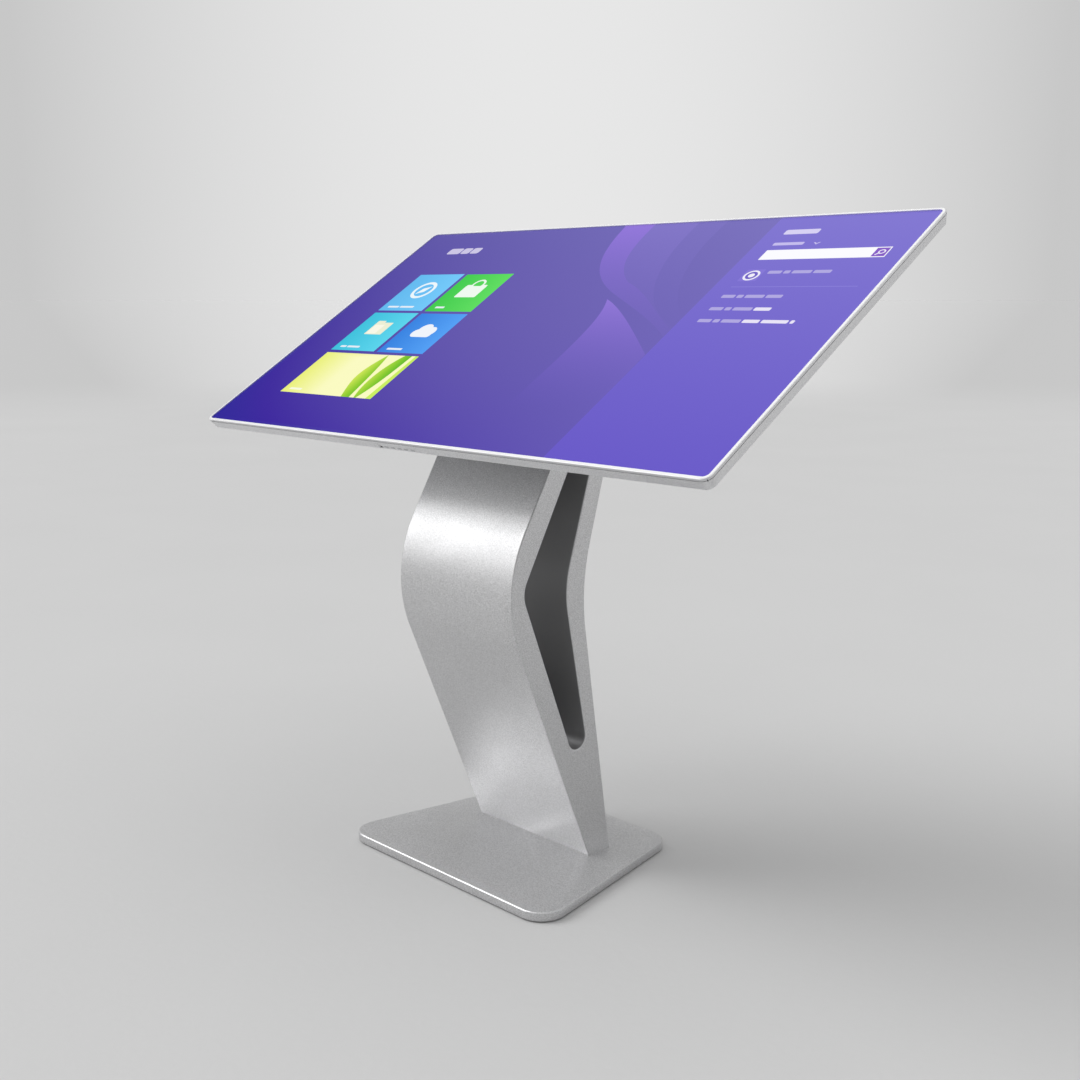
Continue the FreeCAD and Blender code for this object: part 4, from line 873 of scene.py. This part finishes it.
socket_hole = sized(screw_tree, "GeometryNodeMeshCylinder", Vertices=6)
joined(screw_tree, given.outputs["Socket radius"], socket_hole.inputs["Radius"])
twice = sized(screw_tree, "ShaderNodeMath")
twice.operation = "MULTIPLY"
twice.inputs[1].default_value = 2.0
joined(screw_tree, given.outputs["Socket depth"], twice.inputs[0])
joined(screw_tree, twice.outputs["Value"], socket_hole.inputs["Depth"])
shank = sized(screw_tree, "GeometryNodeMeshCylinder", Vertices=20)
joined(screw_tree, given.outputs["Shank radius"], shank.inputs["Radius"])
joined(screw_tree, given.outputs["Shank length"], shank.inputs["Depth"])
half_shank = sized(screw_tree, "ShaderNodeMath")
half_shank.operation = "MULTIPLY"
half_shank.inputs[1].default_value = -0.5
joined(screw_tree, given.outputs["Shank length"], half_shank.inputs[0])
body = sized(screw_tree, "GeometryNodeMeshBoolean")
body.operation = "UNION"
joined(screw_tree, barrel.outputs["Mesh"], body.inputs["Mesh 2"])
joined(screw_tree, lifted(screw_tree, crown.outputs["Mesh"], straight.outputs["Value"]),
       body.inputs["Mesh 2"])
joined(screw_tree, lifted(screw_tree, shank.outputs["Mesh"], half_shank.outputs["Value"]),
       body.inputs["Mesh 2"])
drilled = sized(screw_tree, "GeometryNodeMeshBoolean")
drilled.operation = "DIFFERENCE"
joined(screw_tree, body.outputs["Mesh"], drilled.inputs["Mesh 1"])
joined(screw_tree, lifted(screw_tree, socket_hole.outputs["Mesh"], given.outputs["Head height"]),
       drilled.inputs["Mesh 2"])
spots = sized(screw_tree, "GeometryNodeInstanceOnPoints")
joined(screw_tree, given.outputs["Geometry"], spots.inputs["Points"])
joined(screw_tree, drilled.outputs["Mesh"], spots.inputs["Instance"])
joined(screw_tree, given.outputs["Facing"], spots.inputs["Rotation"])
real = screw_tree.nodes.new("GeometryNodeRealizeInstances")
joined(screw_tree, spots.outputs["Instances"], real.inputs["Geometry"])
coated = screw_tree.nodes.new("GeometryNodeSetMaterial")
joined(screw_tree, real.outputs["Geometry"], coated.inputs["Geometry"])
joined(screw_tree, given.outputs["Finish"], coated.inputs["Material"])
joined(screw_tree, coated.outputs["Geometry"], result.inputs["Geometry"])


def grown(name, tree, places, values):
    """Run a geometry tree on a set of points and return its plain mesh."""
    seed = bpy.data.meshes.new(name)
    seed.from_pydata(places, [], [])
    piece = bpy.data.objects.new(name, seed)
    bpy.context.scene.collection.objects.link(piece)
    modifier = piece.modifiers.new("tree", "NODES")
    modifier.node_group = tree
    sockets = {item.name: item.identifier for item in tree.interface.items_tree
               if item.item_type == "SOCKET" and item.in_out == "INPUT"}
    for label, value in values.items():
        modifier[sockets[label]] = value
    bpy.context.view_layer.update()
    mesh = plain_mesh(piece, math.radians(30))
    piece.modifiers.remove(modifier)
    bpy.data.objects.remove(piece)
    return mesh


facing_back = out_back.to_track_quat("Z", "Y").to_euler()
for node in ("cover_screws", "housing_screws"):
    seats = []
    for solid in solids_of(node):
        centre = sum(solid, Vector()) / len(solid)
        low = [min(p.dot(axis) for p in solid) for axis in (Vector((1, 0, 0)), up_screen)]
        high = [max(p.dot(axis) for p in solid) for axis in (Vector((1, 0, 0)), up_screen)]
        top = max(p.dot(out_back) for p in solid)
        across_at, up_at = [(a + b) / 2 for a, b in zip(low, high)]
        seats.append(Vector((across_at, 0, 0)) + up_screen * up_at
                     + out_back * (top - screw_head))
    mesh = grown(node, screw_tree, seats, {"Facing": tuple(facing_back), "Finish": zinc})
    place_piece(node.replace("screws", "socket_screws"), mesh, None, "kiosk", "zinc_steel", node)


# --- Fans, speakers and switch -------------------------------------------------
# Two moulded fans draw air through slots in the housing, a speaker sits behind the slots
# below each, and a rocker switch is let into the housing beside the door.
dress(black_plastic, "fan_frame_left", "fan_frame_right", "fan_rotor_left", "fan_rotor_right",
      "speaker_left", "speaker_right", "mains_rocker")


# --- Service door lock ---------------------------------------------------------
# A plated quarter-turn cylinder in a sleeve, with a flat cam that catches behind the housing.
dress(nickel, "lock_cylinder", "lock_sleeve", "lock_cam")


# --- Electronics ---------------------------------------------------------------
# Circuit boards on the mounting plate, an anodised heat sink, and the power supply and media
# player in folded sheet cases.
board, tree, shader = finish_of("circuit_board", {"Specular IOR Level": 0.5})
tint(tree, grain(tree, 420.0, 1.0), colour(18, 74, 46), colour(34, 104, 62),
     shader.inputs["Base Color"])
spread(tree, grain(tree, 90.0), 0.3, 0.48, shader.inputs["Roughness"])
relief(tree, grain(tree, 700.0), 0.0002, shader)
dress(board, "main_board", "backlight_board", "touch_board")
anodised, tree, shader = finish_of("black_anodised", {"Metallic": 0.7})
tint(tree, grain(tree, 80.0), colour(28, 28, 30), colour(46, 46, 49), shader.inputs["Base Color"])
spread(tree, grain(tree, 400.0), 0.38, 0.5, shader.inputs["Roughness"])
dress(anodised, "heat_sink")
cases = plated("module_case", colour(150, 153, 157), colour(176, 178, 182), 0.4)
dress(cases, "power_supply", "media_player")
